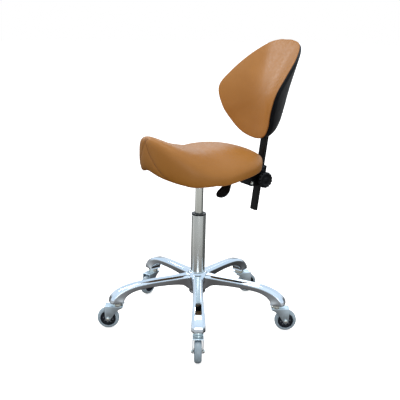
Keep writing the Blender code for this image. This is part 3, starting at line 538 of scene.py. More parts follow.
def seat_under(scale, rim_z):
    return PAN_BOTTOM + (rim_z + 0.004 - PAN_BOTTOM) * share(scale, 0.62, 0.95) ** 2


def seat_cover():
    waist = waist_line(10)
    rim = [tucked(point, pi / 2) for point in waist]
    scales = [sin(0.5 * pi * (k + 1) / 34) for k in range(33)]
    rings = [[seat_skin(point, scale) for point in waist] for scale in scales]
    rings += [[tucked(point, 0.5 * pi * k / 7) for point in waist] for k in range(8)]
    for scale, lift in ((0.994, -0.0012), (0.986, -0.001), (0.974, 0.0012)):
        rings.append([drawn_in(p, scale, p.z + lift) for p in rim])
    for scale in (0.965, 0.95, 0.86, 0.78, 0.6, 0.3):
        rings.append([drawn_in(p, scale, seat_under(min(scale, 0.95), p.z) + FOAM_BOTTOM)
                      for p in rim])
    return loft("seat_cover", rings, first=(0, 0, seat_top(0, 0)),
                last=(0, 0, PAN_BOTTOM + FOAM_BOTTOM), sharp=60)


def surface_of(piece):
    mesh = piece.data
    return BVHTree.FromPolygons([v.co for v in mesh.vertices],
                                [tuple(p.vertices) for p in mesh.polygons])


def laid(points, surface, lift=0.0):
    """Points moved onto a surface, then off it by the lift."""
    made = []
    for point in points:
        spot, normal, *_ = surface.find_nearest(point)
        made.append(spot + normal * lift)
    return made


def groove(piece, line, depth, width):
    """Press a soft channel into the piece along a line."""
    tree = KDTree(len(line))
    for i, point in enumerate(line):
        tree.insert(point, i)
    tree.balance()
    for vert in piece.data.vertices:
        distance = tree.find(vert.co)[2]
        if distance < 3 * width:
            vert.co -= vert.normal * depth * exp(-(distance / width) ** 2)
    piece.data.update()


def stitches(name, line, pitch, size):
    """Short round-ended stitches along a line that is densely sampled."""
    pieces = []
    travelled = 0.0
    for before, after in zip(line, line[1:]):
        step = (after - before).length
        travelled += step
        if travelled < pitch or step < 1e-6:
            continue
        travelled = 0.0
        along = (after - before).normalized()
        shape = lathe("stitch", [(0, -0.5), (0.5, -0.42), (0.5, 0.42), (0, 0.5)], 6, 0.1)
        turn = along.to_track_quat("Z", "Y").to_matrix().to_4x4()
        size_matrix = Matrix.Diagonal((size, size, pitch * 0.62, 1))
        pieces.append(move(shape, shift(*after) @ turn @ size_matrix))
    return join(name, pieces)


def dense(points, pitch):
    """The same path with points no further apart than the pitch."""
    made = [points[0]]
    for before, after in zip(points, points[1:]):
        count = max(1, int((after - before).length / pitch))
        made += [before.lerp(after, (k + 1) / count) for k in range(count)]
    return made


def apron_line():
    half = spline(APRON_SEAM, 12)
    left = [Vector((-p.x, p.y, p.z)) for p in reversed(half[1:])]
    return dense(left + half, 0.0015)


def make_seat():
    cover = seat_cover()
    surface = surface_of(cover)
    seam = laid(apron_line(), surface)
    refine(cover)
    groove(cover, seam, SEAM_DEPTH, SEAM_WIDTH)
    surface = surface_of(cover)
    put(cover, "leather", "seat", "leather", ["seat_cushion"])
    line = laid(seam, surface, -0.0002)
    put(tube("seat_seam", line[2:-2], 0.00065, 8), "leather_seam", "seat", "leather")
    for name, offset in (("seat_stitch_upper", STITCH_OFFSET),
                         ("seat_stitch_lower", -STITCH_OFFSET)):
        row = []
        for i, point in enumerate(line[1:-1]):
            along = (line[i + 2] - line[i]).normalized()
            spot, normal, *_ = surface.find_nearest(point)
            row.append(point + normal.cross(along).normalized() * offset)
        row = laid(row, surface, 0.0001)
        put(stitches(name, row, STITCH_PITCH, STITCH_SIZE), "leather_thread", "seat", "leather")
    rim = [tucked(point, pi / 2) for point in waist_line(12)]
    welt = [drawn_in(p, 0.996, p.z - 0.0004) for p in rim]
    put(tube("seat_piping", welt, 0.0015, 10, closed=True), "leather_piping", "seat", "leather")
    make_hem()


def make_hem():
    """Leather turned under the board, with its row of staples."""
    rim = [tucked(point, pi / 2) for point in waist_line(12)]
    levels = ((0.977, -0.0003), (0.96, -0.0016), (0.945, -0.0019), (0.905, -0.0017),
              (0.865, -0.0016))
    outer, inner = [], []
    for scale, lift in levels:
        ring, back = [], []
        for i, p in enumerate(rim):
            ripple = 0.004 * noise.noise((i * 0.35, 3.0, 0.0)) if scale < 0.9 else 0.0
            reach = scale + ripple
            low = seat_under(min(reach, 0.95), p.z) + lift if scale < 0.97 else p.z + lift
            ring.append(drawn_in(p, reach, low))
            back.append(drawn_in(p, reach, low + 0.0011))
        outer.append(ring)
        inner.append(back)
    hem = loft("seat_hem", outer + inner[::-1], loop=True, sharp=50)
    put(hem, "leather", "seat", "leather")
    staples = []
    for i in range(0, len(rim), 4):
        p, ahead = rim[i], rim[(i + 1) % len(rim)]
        spot = drawn_in(p, 0.885, seat_under(0.885, p.z) - 0.0021)
        along = Vector((ahead.x - p.x, ahead.y - p.y, 0)).normalized()
        staples.append(tube("staple", [spot - along * 0.005, spot + along * 0.005], 0.0004, 6))
    put(join("seat_staples", staples), "zinc", "seat", "brushed_steel")


# ---- backrest -----------------------------------------------------------------------------------
BACK_LEAN = radians(18.8)
BACK_BASE = (0.223, 0.639)
BACK_HEIGHT = 0.353
BACK_MIDDLE = 0.15
SHELL_WALL = 0.0027
BACK_EDGE = (
    (0.0, -0.0035, 0.0), (0.062, 0.0065, 0.016), (0.106, 0.037, 0.046), (0.138, 0.079, 0.081),
    (0.161, 0.14, 0.101), (0.151, 0.208, 0.075), (0.126, 0.28, 0.036), (0.084, 0.335, 0.004),
    (0.036, 0.352, -0.003), (0.0, BACK_HEIGHT, -0.003),
)


def back_frame():
    lean = turned(-BACK_LEAN, "X")
    return shift(0, *BACK_BASE) @ lean @ Matrix.Scale(-1, 4, (0, 1, 0))


def lumbar(height):
    return 0.018 * max(0.0, sin(pi * min(max(height / BACK_HEIGHT, 0.0), 1.0))) ** 0.8


def back_point(edge, scale, depth):
    """Point of a layer at a scale of the edge, set back from the pad's front by the depth."""
    height = BACK_MIDDLE + (edge.y - BACK_MIDDLE) * scale
    forward = lumbar(height) * (1 - scale ** 2) + edge.z * scale ** 2
    return back_frame() @ Vector((edge.x * scale, forward - depth, height))


def back_edge(steps):
    return spline(mirrored_loop(BACK_EDGE), steps, closed=True)


def back_pole(depth):
    return back_frame() @ Vector((0, lumbar(BACK_MIDDLE) - depth, BACK_MIDDLE))


def pad_depth(scale):
    return 0.0055 + 0.0165 * (1 - scale ** 2)


def shell_depth(scale, height):
    """The cover is fullest low in the middle, round the tube's bracket, and thins to its rim."""
    thick = 0.0775 - 0.14 * max(0.0, height - BACK_MIDDLE)
    power = 1.8 + 2.45 * max(0.0, 1 - height / BACK_MIDDLE)
    full = 0.0185 + (thick - 0.0185) * (1 - scale ** power)
    least = pad_depth(scale) + 0.0095
    blend = 0.004
    return 0.5 * (full + least + sqrt((full - least) ** 2 + blend ** 2))


def make_back_cushion():
    edge = back_edge(10)
    rings = []
    for k in range(28):
        scale = 0.972 * sin(0.5 * pi * (k + 1) / 28)
        rings.append([back_point(p, scale, 0.0045 * share(scale, 0.78, 1.0) ** 2) for p in edge])
    for scale, depth in ((0.98, 0.0038), (0.989, 0.0043), (0.996, 0.0049), (0.9995, 0.0055),
                         (1.0, 0.006), (0.997, 0.0065), (0.99, 0.0068)):
        rings.append([back_point(p, scale, depth) for p in edge])
    for scale in (0.94, 0.9, 0.72, 0.5, 0.25):
        rings.append([back_point(p, scale, pad_depth(scale)) for p in edge])
    cover = loft("back_cover", rings, first=back_pole(0.0), last=back_pole(pad_depth(0)), sharp=60)
    refine(cover)
    put(cover, "leather", "backrest", "leather", ["back_cushion"])
    welt = [back_point(p, 0.9965, 0.0068) for p in back_edge(14)]
    put(tube("back_piping", welt, 0.0014, 10, closed=True), "leather_piping", "backrest", "leather")


def shell_point(edge, scale, wall=0.0):
    height = BACK_MIDDLE + (edge.y - BACK_MIDDLE) * scale
    return back_point(edge, scale, shell_depth(scale, height) - wall)


def make_back_shell():
    edge = back_edge(10)
    rings = []
    for k in range(26):
        scale = 0.955 * sin(0.5 * pi * (k + 1) / 26)
        rings.append([shell_point(p, scale) for p in edge])
    for scale, depth in ((0.975, 0.0195), (0.986, 0.0165), (0.992, 0.0135), (0.995, 0.0105),
                         (0.995, 0.008), (0.99, 0.0066), (0.94, 0.0086)):
        rings.append([back_point(p, scale, depth) for p in edge])
    for scale in (0.925, 0.85, 0.72, 0.5, 0.25):
        rings.append([shell_point(p, scale, SHELL_WALL) for p in edge])
    shell = loft("back_cover_shell", rings, first=back_pole(shell_depth(0, BACK_MIDDLE)),
                 last=back_pole(shell_depth(0, BACK_MIDDLE) - SHELL_WALL), sharp=50)
    centre = mast_point(0.64)
    rings = [[centre + Vector((a, 0, rise)) + Vector((0, 1, 0)) * (b + rise * sin(MAST_LEAN))
              for a, b in oval(0.041, 0.018)] for rise in (-0.05, 0.04)]
    boolean(shell, [loft("slot", rings)], sharp=50)
    surface = surface_of(shell)
    put(shell, "shell", "backrest", "shell", ["back_shell"])
    make_shell_screws(surface)


def make_shell_screws(surface):
    """Four countersunk screws that hold the cover to the board."""
    screws = []
    for x, height in ((-0.085, 0.105), (0.085, 0.105), (-0.06, 0.255), (0.06, 0.255)):
        start = back_point(Vector((x, height, -0.3)), 1.0, 0.0)
        spot, out, *_ = surface.ray_cast(start, (back_pole(0.0) - back_pole(0.1)).normalized())
        head = lathe("screw", [(0, 0.0012), (0.003, 0.001), (0.0034, -0.002), (0, -0.002)], 20,
                     0.0004)
        cross = [block("cross", (-a, -b, 0.0004), (a, b, 0.003), 0.0) for a, b in
                 ((0.002, 0.0004), (0.0004, 0.002))]
        boolean(head, cross)
        turn = out.to_track_quat("Z", "Y").to_matrix().to_4x4()
        screws.append(move(head, shift(*spot) @ turn))
    put(join("back_screws", screws), "black_steel", "backrest", "black_steel")


# ---- back tube and its clamp --------------------------------------------------------------------
MAST_WIDTH = 0.036
MAST_DEPTH = 0.013
MAST_WALL = 0.002
MAST_LEAN = radians(7.5)
MAST_LOW = (0.237, 0.371)
MAST_BEND_Z = 0.66
MAST_UPPER = 0.08
PIVOT = (0.2009, 0.4784)
SPACER = (0.2136, 0.5206)
HEIGHT_KNOB = (0.244, 0.4895)
TILT_KNOB = (0.24, 0.5215)
EAR_INNER = 0.0235
EAR_OUTER = 0.0275
BOLT_HOLE = 0.0043


def across(y, z, x):
    return Vector((x, y, z))


def mast_point(z):
    run = (z - MAST_LOW[1]) / cos(MAST_LEAN)
    return Vector((0, MAST_LOW[0] + run * sin(MAST_LEAN), z))


def mast_path():
    """Centres and leans up the tube, with a smooth bend to the pad's lean."""
    made = [(mast_point(MAST_LOW[1] + k * (MAST_BEND_Z - 0.018 - MAST_LOW[1]) / 6), MAST_LEAN)
            for k in range(7)]
    turn = BACK_LEAN - MAST_LEAN
    point = made[-1][0].copy()
    for k in range(1, 9):
        lean = MAST_LEAN + turn * k / 8
        point = point + Vector((0, sin(lean), cos(lean))) * 0.0042
        made.append((point.copy(), lean))
    along = Vector((0, sin(BACK_LEAN), cos(BACK_LEAN)))
    made += [(point + along * run, BACK_LEAN) for run in (0.02, 0.04, MAST_UPPER - 0.018)]
    return made


def oval_ring(width, depth, centre, lean):
    ahead = Vector((0, cos(lean), -sin(lean)))
    return [centre + Vector((a, 0, 0)) + ahead * b for a, b in oval(width, depth)]


def make_back_tube():
    path = mast_path()
    outer = [oval_ring(MAST_WIDTH, MAST_DEPTH, centre, lean) for centre, lean in path]
    inner = [oval_ring(MAST_WIDTH - 2 * MAST_WALL, MAST_DEPTH - 2 * MAST_WALL, centre, lean)
             for centre, lean in path]
    mast = loft("back_mast", outer + inner[::-1], loop=True, sharp=40)
    put(mast, "black_steel", "backrest", "black_steel", ["back_tube"])
    turn = shift(0, *MAST_LOW) @ turned(-MAST_LEAN, "X")
    rings = [[turn @ Vector((a * grow, b * grow, z)) for a, b in oval(0.0352, 0.0122)]
             for z, grow in ((-0.0012, 0.9), (-0.001, 0.96), (-0.0004, 1.0), (-0.0002, 1.0))]
    inner = [[turn @ Vector((a, b, z)) for a, b in oval(0.0312, 0.0082)] for z in (0.0, 0.012)]
    cap = loft("mast_cap", rings + inner)
    put(cap, "hard_plastic", "backrest", "hard_plastic", ["tube_cap"])


def ear(low, high):
    outline = (arc(PIVOT, 0.067, -12, 68, 20) + [(0.206, 0.533), (0.172, 0.51), (0.168, 0.495)]
               + arc(PIVOT, 0.012, 170, 260, 10))
    return prism("ear", outline, low, high, across)


def arc_slot(knob):
    """Cutter for the slot of a knob's stud, about the pivot."""
    half_width = 0.0046
    radius = hypot(knob[0] - PIVOT[0], knob[1] - PIVOT[1])
    rest = degrees(atan2(knob[1] - PIVOT[1], knob[0] - PIVOT[0]))
    low, high = rest - 13, rest + 6
    ends = [arc(PIVOT, radius, angle, angle, 1)[0] for angle in (low, high)]
    outline = (arc(PIVOT, radius + half_width, low, high, 8)[1:-1]
               + arc(ends[1], half_width, high, high + 180, 8)
               + arc(PIVOT, radius - half_width, high, low, 8)[1:-1]
               + arc(ends[0], half_width, low + 180, low + 360, 8))
    return prism("slot", outline, -0.06, 0.06, across)


def rod(name, radius, low, high, axis="Z", centre=(0, 0, 0), segments=32, edge=0.0):
    """Round bar along an axis through a point."""
    piece = lathe(name, [(0, low), (radius, low), (radius, high), (0, high)], segments, edge)
    turn = {"Z": Matrix(), "X": turned(pi / 2, "Y"), "Y": turned(-pi / 2, "X")}
    return move(piece, shift(*centre) @ turn[axis])


def make_bar():
    """Flat bar under the seat, bent down to two quadrant ears with cast ribs."""
    top, thick, slope = 0.5404, 0.006, 0.532
    bend, end = 0.1, 0.186
    middle = top - thick / 2
    drop = (end - bend) * slope
    slant = thick / 2 * hypot(1, slope)
    outline = [(0.06, top), (bend, top), (end, middle - drop + slant), (end, middle - drop - slant),
               (bend - 0.001, top - thick), (0.06, top - thick)]
    bar = prism("bar", outline, -0.02, 0.02, across, radius=0.004)
    head = [(y, middle - (y - bend) * slope + side * slant)
            for y, side in ((0.16, 1), (end, 1), (end, -1), (0.16, -1))]
    head = prism("head", head, -EAR_OUTER, EAR_OUTER, across)
    boolean(bar, [head, ear(EAR_INNER, EAR_OUTER), ear(-EAR_OUTER, -EAR_INNER)], "UNION")
    holes = [rod("hole", BOLT_HOLE, -0.06, 0.06, "X", (0, *place)) for place in (PIVOT, SPACER)]
    holes += [arc_slot(TILT_KNOB), arc_slot(HEIGHT_KNOB)]
    holes += [rod("hole", 0.0036, 0.52, 0.56, "Z", (x, 0.076, 0)) for x in (-0.014, 0.014)]
    boolean(bar, holes)
    round_edges(bar, 0.0007, 2, 40)
    put(bar, "black_steel", "seat", "black_steel", ["backrest_bar"])
    ribs = []
    for side in (-1, 1):
        for k in range(4):
            start = Vector((side * EAR_OUTER, 0.2135 + 0.0042 * k, 0.505 + 0.0012 * k))
            tip = start + Vector((0, 0.0052, 0.0078))
            ribs.append(tube("rib", [start, start.lerp(tip, 0.5), tip], 0.001, 8))
        boss = lathe("boss", [(0.0046, 0), (0.0095, 0), (0.0095, 0.0016), (0.0046, 0.0016)], 40,
                     0.0004)
        ribs.append(move(boss, shift(side * EAR_OUTER, *PIVOT) @ turned(side * pi / 2, "Y")))
    put(join("ear_ribs", ribs), "black_steel", "seat", "black_steel")


def dome_bolt(name, reach, radius, shank):
    """Bolt across both ears with a domed, hex-socket head on each side, along X."""
    seat_of_head = EAR_OUTER + 0.0003
    half = [(shank, 0), (shank, seat_of_head), (radius, seat_of_head),
            (radius, seat_of_head + 0.0016, 0.0004), (radius * 0.72, reach, 0.001), (0, reach)]
    profile = [(0, -reach)] + [(p[0], -p[1], *p[2:]) for p in reversed(half[1:-1])] + half[1:]
    bolt = lathe(name, profile, 40, 0.0003)
    hexagon = arc((0, 0), 0.0026, 0, 300, 5)
    sockets = [prism("hex", hexagon, low, high, lambda a, b, t: Vector((a, b, t)))
               for low, high in ((reach - 0.0022, reach + 0.01), (-reach - 0.01, -reach + 0.0022))]
    boolean(bolt, sockets)
    return move(bolt, turned(pi / 2, "Y"))


def make_clamp():
    """Hinge block that turns on the lower bolt and grips the tube."""
    half = EAR_INNER - 0.0003
    turn = shift(0, *MAST_LOW) @ turned(-MAST_LEAN, "X")
    sleeve = move(block("sleeve", (-half, -0.013, 0.096), (half, 0.012, 0.166), 0.0022, 4), turn)
    outline = arc(PIVOT, 0.0115, 90, 270, 16) + [(0.243, 0.4669), (0.243, 0.4935)]
    boolean(sleeve, [prism("lug", outline, -half, half, across)], "UNION")
    channel = [oval_ring(MAST_WIDTH + 0.0006, MAST_DEPTH + 0.0006, mast_point(z), MAST_LEAN)
               for z in (0.44, 0.56)]
    cutters = [loft("channel", channel), rod("pivot", BOLT_HOLE, -0.06, 0.06, "X", (0, *PIVOT))]
    cutters += [rod("stud", BOLT_HOLE, 0.01, 0.04, "X", (0, *place))
                for place in (HEIGHT_KNOB, TILT_KNOB)]
    boolean(sleeve, cutters)
    round_edges(sleeve, 0.0005, 2, 50)
    put(sleeve, "hard_plastic", "hinge", "black_steel", ["hinge_block"])
    ribs = []
    for k in range(5):
        low = -0.015 + 0.0075 * k
        rib = block("rib", (low - 0.0011, 0.011, 0.101), (low + 0.0011, 0.0138, 0.161), 0.0006)
        ribs.append(move(rib, turn))
    put(join("block_ribs", ribs), "hard_plastic", "hinge", "black_steel")
    for name, place in (("pivot_bolt", PIVOT), ("spacer_bolt", SPACER)):
        bolt = dome_bolt(name + "_fine", 0.0325, 0.0062, 0.004)
        put(bolt, "brushed_steel", "seat", "brushed_steel", [name], AT_COLUMN @ shift(0, *place))


def knob(name, radius, lobes, low, high, stud):
    """Fluted hand knob along its own Z, with a dished face and its stud."""
    count = lobes * 14
    height = high - low

    def ring(z, scale, flute):
        points = []
        for i in range(count):
            turn = 2 * pi * i / count
            dip = 0.085 * flute * (0.5 - 0.5 * cos(lobes * turn)) ** 1.4
            reach = radius * (scale - dip)
            points.append(Vector((reach * cos(turn), reach * sin(turn), z)))
        return points
    levels = [
        (0.0, 0.88, 0.5), (0.0005, 0.93, 0.8), (0.0016, 0.98, 1.0), (0.0032, 1.0, 1.0),
        (height - 0.0042, 1.0, 1.0), (height - 0.0024, 0.985, 1.0), (height - 0.001, 0.95, 0.9),
        (height - 0.0002, 0.89, 0.7), (height, 0.82, 0.4), (height, 0.64, 0.0),
        (height - 0.0005, 0.6, 0.0), (height - 0.0012, 0.57, 0.0), (height - 0.0014, 0.5, 0.0),
        (height - 0.0014, 0.27, 0.0), (height - 0.001, 0.24, 0.0), (height, 0.22, 0.0),
        (height + 0.0004, 0.18, 0.0), (height + 0.0006, 0.1, 0.0)]
    head = loft(name, [ring(low + z, scale, flute) for z, scale, flute in levels],
                last=(0, 0, low + height + 0.0006), sharp=40)
    parts = [head, rod("stud", 0.004, stud, low + 0.002, segments=24)]
    neck_low = EAR_OUTER + 0.001
    if low - neck_low > 0.006:
        parts.append(lathe("neck", [(0, neck_low), (0.0085, neck_low), (0.0092, low - 0.006),
                                    (0.012, low + 0.001), (0, low + 0.001)], 40, 0.0012))
    return join(name, parts)


def make_knobs():
    for name, place, size in (("tilt_knob", TILT_KNOB, (0.0158, 10, 0.03, 0.038, 0.0196)),
                              ("height_knob", HEIGHT_KNOB, (0.029, 14, 0.0395, 0.0564, 0.0186))):
        piece = knob(name + "_fine", *size)
        where = AT_COLUMN @ shift(0, *place) @ turned(pi / 2, "Y")
        put(piece, "hard_plastic", name, "hard_plastic", [name], where)


# ---- lever --------------------------------------------------------------------------------------
LEVER_Z = 0.531
PADDLE_ROOT = Vector((0.1015, 0.052, 0.515))
PADDLE_TIP = Vector((0.16, -0.026, 0.488))


def lever_path():
    return spline([(-0.008, 0.0, LEVER_Z), (0.01, 0.0, LEVER_Z), (0.034, 0.006, LEVER_Z),
                   (0.06, 0.024, 0.529), (0.086, 0.042, 0.522),
                   PADDLE_ROOT + Vector((0.004, 0.002, 0.0))], 10)


def make_lever():
    bar = tube("lever_bar", lever_path(), 0.004, 20)
    boss = rod("boss", 0.0062, -0.007, 0.009, "Y", (0.022, 0, LEVER_Z), edge=0.0006)
    boolean(bar, [boss], "UNION")
    boolean(bar, [rod("hole", 0.0029, -0.02, 0.02, "Y", (0.022, 0, LEVER_Z))])
    put(bar, "black_steel", "lever", "black_steel", ["lever_rod"])
    along = (PADDLE_TIP - PADDLE_ROOT).normalized()
    side = along.cross(Vector((0, 0, 1))).normalized()
    up = side.cross(along)
    rows = stations(((-0.01, 0.004, 0.005), (-0.0098, 0.0085, 0.0085), (-0.0085, 0.0125, 0.012),
                     (-0.004, 0.0165, 0.0145), (0.012, 0.021, 0.0135), (0.038, 0.031, 0.0098),
                     (0.064, 0.039, 0.0088), (0.082, 0.0375, 0.0083), (0.094, 0.03, 0.0075),
                     (0.1005, 0.019, 0.0058), (0.1025, 0.008, 0.003)), 6)
    rings = []
    for reach, width, depth in rows:
        centre = PADDLE_ROOT + along * reach
        rings.append([centre + side * a + up * b for a, b in superellipse(width, depth, 2.5, 48)])
    paddle = loft("paddle", rings, sharp=60)
    ridges = []
    for k in range(5):
        reach, width = 0.052 + 0.0075 * k, 0.01 + 0.0006 * k
        centre = PADDLE_ROOT + along * reach + up * (0.004 - 0.0001 * k)
        bow = [centre - side * width, centre + up * 0.0002, centre + side * width]
        ridges.append(tube("ridge", bow, 0.0009, 10))
    paddle = join("lever_grip", [paddle] + ridges)
    put(paddle, "hard_plastic", "lever", "hard_plastic", ["lever_paddle"])


# ---- column -------------------------------------------------------------------------------------
def make_column():
    put(lathe("column_tube", [
        (0.025, 0.385), (0.025, 0.105), (0.0056, 0.105), (0.0056, 0.111), (0.0225, 0.111),
        (0.0225, 0.385)], 96, 0.0005), "chrome", "base", "chrome", ["outer_tube"])
    put(lathe("column_cap", [
        (0.0143, 0.3895), (0.019, 0.3905), (0.025, 0.39), (0.0256, 0.3878), (0.0252, 0.3853),
        (0.022, 0.3853), (0.0219, 0.33), (0.0143, 0.33)], 96, 0.0008),
        "hard_plastic", "base", "hard_plastic", ["guide_bushing"])
    put(lathe("gas_spring", [
        (0, 0.495), (0.0048, 0.495), (0.0048, 0.518), (0.0125, 0.518), (0.0136, 0.4835),
        (0.014, 0.4795), (0.014, 0.235), (0.0055, 0.235), (0.0055, 0.247), (0.0113, 0.247),
        (0.0113, 0.46), (0, 0.46)], 80, 0.0004),
        "brushed_steel", "seat", "brushed_steel", ["gas_cylinder"])
    put(lathe("taper_collar", [
        (0.0142, 0.5122), (0.024, 0.5122), (0.024, 0.509), (0.0195, 0.504), (0.018, 0.4835),
        (0.0142, 0.4835)], 72, 0.0008), "black_steel", "seat", "black_steel", ["taper_socket"])


# ---- base ---------------------------------------------------------------------------------------
# Along an arm: distance and height of its ridge, slope in degrees, depth, and the widths of the
# flat strip on top, of the shoulder and of the lower edge.
ARM_ROWS = (
    (0.024, 0.172, 0, 0.06, 0.03, 0.042, 0.034),
    (0.04, 0.1712, 1, 0.05, 0.026, 0.04, 0.031),
    (0.058, 0.1697, 2, 0.036, 0.022, 0.0375, 0.03),
    (0.09, 0.1675, 2.5, 0.029, 0.0195, 0.0355, 0.0305),
    (0.13, 0.1655, 3, 0.0258, 0.0185, 0.0345, 0.031),
    (0.17, 0.163, 4.5, 0.0245, 0.0185, 0.0345, 0.0315),
    (0.205, 0.1595, 8, 0.024, 0.019, 0.035, 0.032),
    (0.235, 0.155, 13, 0.025, 0.02, 0.0365, 0.0335),
    (0.262, 0.1475, 23, 0.0285, 0.022, 0.039, 0.036),
    (0.286, 0.137, 39, 0.0355, 0.024, 0.042, 0.039),
    (0.304, 0.123, 58, 0.043, 0.026, 0.0445, 0.0415),
    (0.313, 0.11, 76, 0.048, 0.027, 0.0455, 0.043),
    (0.315, 0.099, 86, 0.05, 0.0275, 0.0455, 0.043),
    (0.315, 0.0957, 90, 0.05, 0.027, 0.045, 0.0425),
)


def arm_ring(distance, height, slope, depth, strip, shoulder, lower):
    turn = radians(slope)
    up = Vector((sin(turn), 0, cos(turn)))
    half = [(strip / 2, 0.0, 0.0012), (shoulder / 2, -0.0055 - 0.06 * depth, 0.0022),
            (lower / 2, -depth, 0.002)]
    outline = half + [(-a, b, r) for a, b, r in reversed(half)]
    centre = Vector((distance, 0, height))
    return [centre + Vector((0, a, 0)) + up * b for a, b in filleted(outline, 0.001, 4)]


def base_arm():
    rows = stations(ARM_ROWS, 6)
    rings = [arm_ring(*row) for row in rows]
    rings[-1] = [Vector((p.x, p.y, ARM_ROWS[-1][1])) for p in rings[-1]]
    return loft("arm", rings, sharp=60)


def base_channel():
    """Hollow under an arm."""
    rows = stations(((0.052, 0.146, 0, 0.06, 0.02, 0.024, 0.026),
                     (0.085, 0.146, 2, 0.05, 0.02, 0.025, 0.027),
                     (0.165, 0.1435, 4, 0.04, 0.02, 0.025, 0.027),
                     (0.225, 0.1365, 12, 0.04, 0.02, 0.025, 0.027),
                     (0.246, 0.13, 20, 0.04, 0.018, 0.023, 0.025)), 4)
    return loft("channel", [arm_ring(*row) for row in rows])


def make_base():
    solids = []
    channels = []
    for i in range(ARMS):
        turn = turned(BASE_TURN + 2 * pi * i / ARMS, "Z")
        solids.append(move(base_arm(), turn))
        channels.append(move(base_channel(), turn))
    hub = lathe("hub", [(0.0254, 0.1785), (0.03, 0.1785), (0.0325, 0.176), (0.0345, 0.17),
                        (0.04, 0.1665), (0.038, 0.15), (0.0325, 0.132), (0.0295, 0.115),
                        (0.0288, 0.101), (0.028, 0.1), (0.0254, 0.1)], 96, 0.002)
    star = fused("base_casting", solids + [hub], 0.0013, 8)
    boolean(star, channels, sharp=40)
    put(star, "polished_aluminium", "base", "polished_aluminium", ["base_star"])


# ---- casters ------------------------------------------------------------------------------------
WHEEL_RADIUS = 0.0375
AXLE_Z = 0.03718
TRAIL = 0.033
FORK_TOP = 0.0825
FORK_INNER = 0.0145
FORK_OUTER = 0.017
WINDOWS = 9
WINDOW_CIRCLE = 0.0163


def fork_piece():
    """Pressed fork: a top plate, a short rear web over the wheel, and two tapering cheeks."""
    outline = [(-0.018, FORK_TOP, 0.003), (-0.018, 0.0785, 0.002), (-0.004, 0.071, 0.01),
               (0.01, 0.057, 0.02)]
    outline += [(x, z, 0) for x, z in arc((TRAIL, AXLE_Z), 0.009, 215, 370, 12)]
    outline += [(0.044, 0.06, 0.01), (0.044, FORK_TOP, 0.002)]
    body = prism("fork", outline, -FORK_OUTER, FORK_OUTER, lambda a, b, t: Vector((a, t, b)),
                 radius=0.002)
    space = block("space", (-0.05, -FORK_INNER, -0.05), (0.08, FORK_INNER, FORK_TOP - 0.0025), 0.0)
    holes = [rod("hole", 0.0062, FORK_TOP - 0.01, FORK_TOP + 0.01),
             rod("hole", 0.0044, -0.03, 0.03, "Y", (TRAIL, 0, AXLE_Z))]
    boolean(body, [space] + holes)
    return round_edges(body, 0.0009, 3, 40)


def stem_piece():
    return lathe("stem", [(0, 0.129), (0.0055, 0.129), (0.0055, 0.0954), (0.0172, 0.0954),
                          (0.0182, 0.0945), (0.0182, 0.0912), (0.016, 0.09), (0.016, 0.0888),
                          (0.0178, 0.0876), (0.0176, 0.084), (0.0172, 0.0828), (0.0055, 0.0828),
                          (0.0055, 0.0797), (0.0085, 0.0797), (0.0075, 0.077), (0, 0.077)],
                 64, 0.0004)


def tyre_piece():
    half = [(0.0266, 0.011), (0.03, 0.0118), (0.033, 0.0108), (0.0355, 0.0082), (0.0371, 0.0042),
            (WHEEL_RADIUS - 0.0003, 0.0)]
    profile = [(p[0], p[1]) for p in half] + [(p[0], -p[1]) for p in reversed(half[:-1])]
    return lathe("tyre", profile, 96, 0.003, steps=5)


def wheel_piece():
    """Wheel centre with a bearing seat and a ring of round windows through its web."""
    half = [(0.0045, 0.013), (0.0092, 0.013), (0.01, 0.0072), (0.0225, 0.0066), (0.0238, 0.0104),
            (0.0262, 0.0104)]
    profile = half + [(x, -z) for x, z in reversed(half)]
    wheel = lathe("wheel", profile, 96, 0.0006)
    turns = [2 * pi * k / WINDOWS for k in range(WINDOWS)]
    windows = [rod("window", 0.003, -0.02, 0.02, segments=20,
                   centre=(WINDOW_CIRCLE * cos(turn), WINDOW_CIRCLE * sin(turn), 0))
               for turn in turns]
    boolean(wheel, windows, sharp=30)
    return round_edges(wheel, 0.0003, 1, 40)


def axle_piece():
    half = [(0.004, 0.0), (0.004, FORK_OUTER + 0.0003), (0.0062, FORK_OUTER + 0.0003),
            (0.0062, FORK_OUTER + 0.0018), (0.0048, FORK_OUTER + 0.0043), (0, FORK_OUTER + 0.005)]
    profile = [(x, -z) for x, z in reversed(half[1:])] + half[1:]
    return lathe("axle", profile, 40, 0.0008)


def make_casters():
    for i in range(1, ARMS + 1):
        stem = Vector(JOINTS[f"caster_{i}_turn"]["pos_m"])
        axle = Vector(JOINTS[f"caster_{i}_roll"]["pos_m"])
        turn = turned(atan2(axle.y - stem.y, axle.x - stem.x), "Z")
        at_stem = shift(stem.x, stem.y, 0) @ turn
        at_axle = shift(*axle) @ turn @ turned(pi / 2, "X")
        where = f"caster_{i}"
        for kind, shape, paint, body, slot, place in (
                ("stem", stem_piece, "brushed_steel", "base", "brushed_steel", at_stem),
                ("fork", fork_piece, "zinc", where + "_swivel", "chrome", at_stem),
                ("axle", axle_piece, "brushed_steel", where + "_swivel", "brushed_steel", at_axle),
                ("hub", wheel_piece, "hub_plastic", where + "_wheel", "hard_plastic", at_axle),
                ("tyre", tyre_piece, "tread", where + "_wheel", "tread", at_axle)):
            piece = shape()
            piece.name = f"{where}_{kind}_fine"
            put(piece, paint, body, slot, [f"{where}_{kind}"], place)


# ---- studio -------------------------------------------------------------------------------------
CAMERA_TURN = radians(57.0)
CAMERA_DISTANCE = 2.1
CAMERA_HEIGHT = 1.015
CAMERA_PITCH = radians(15.42)
CAMERA_YAW = radians(0.07)
CAMERA_ROLL = radians(1.35)
CAMERA_LENS = 57.37


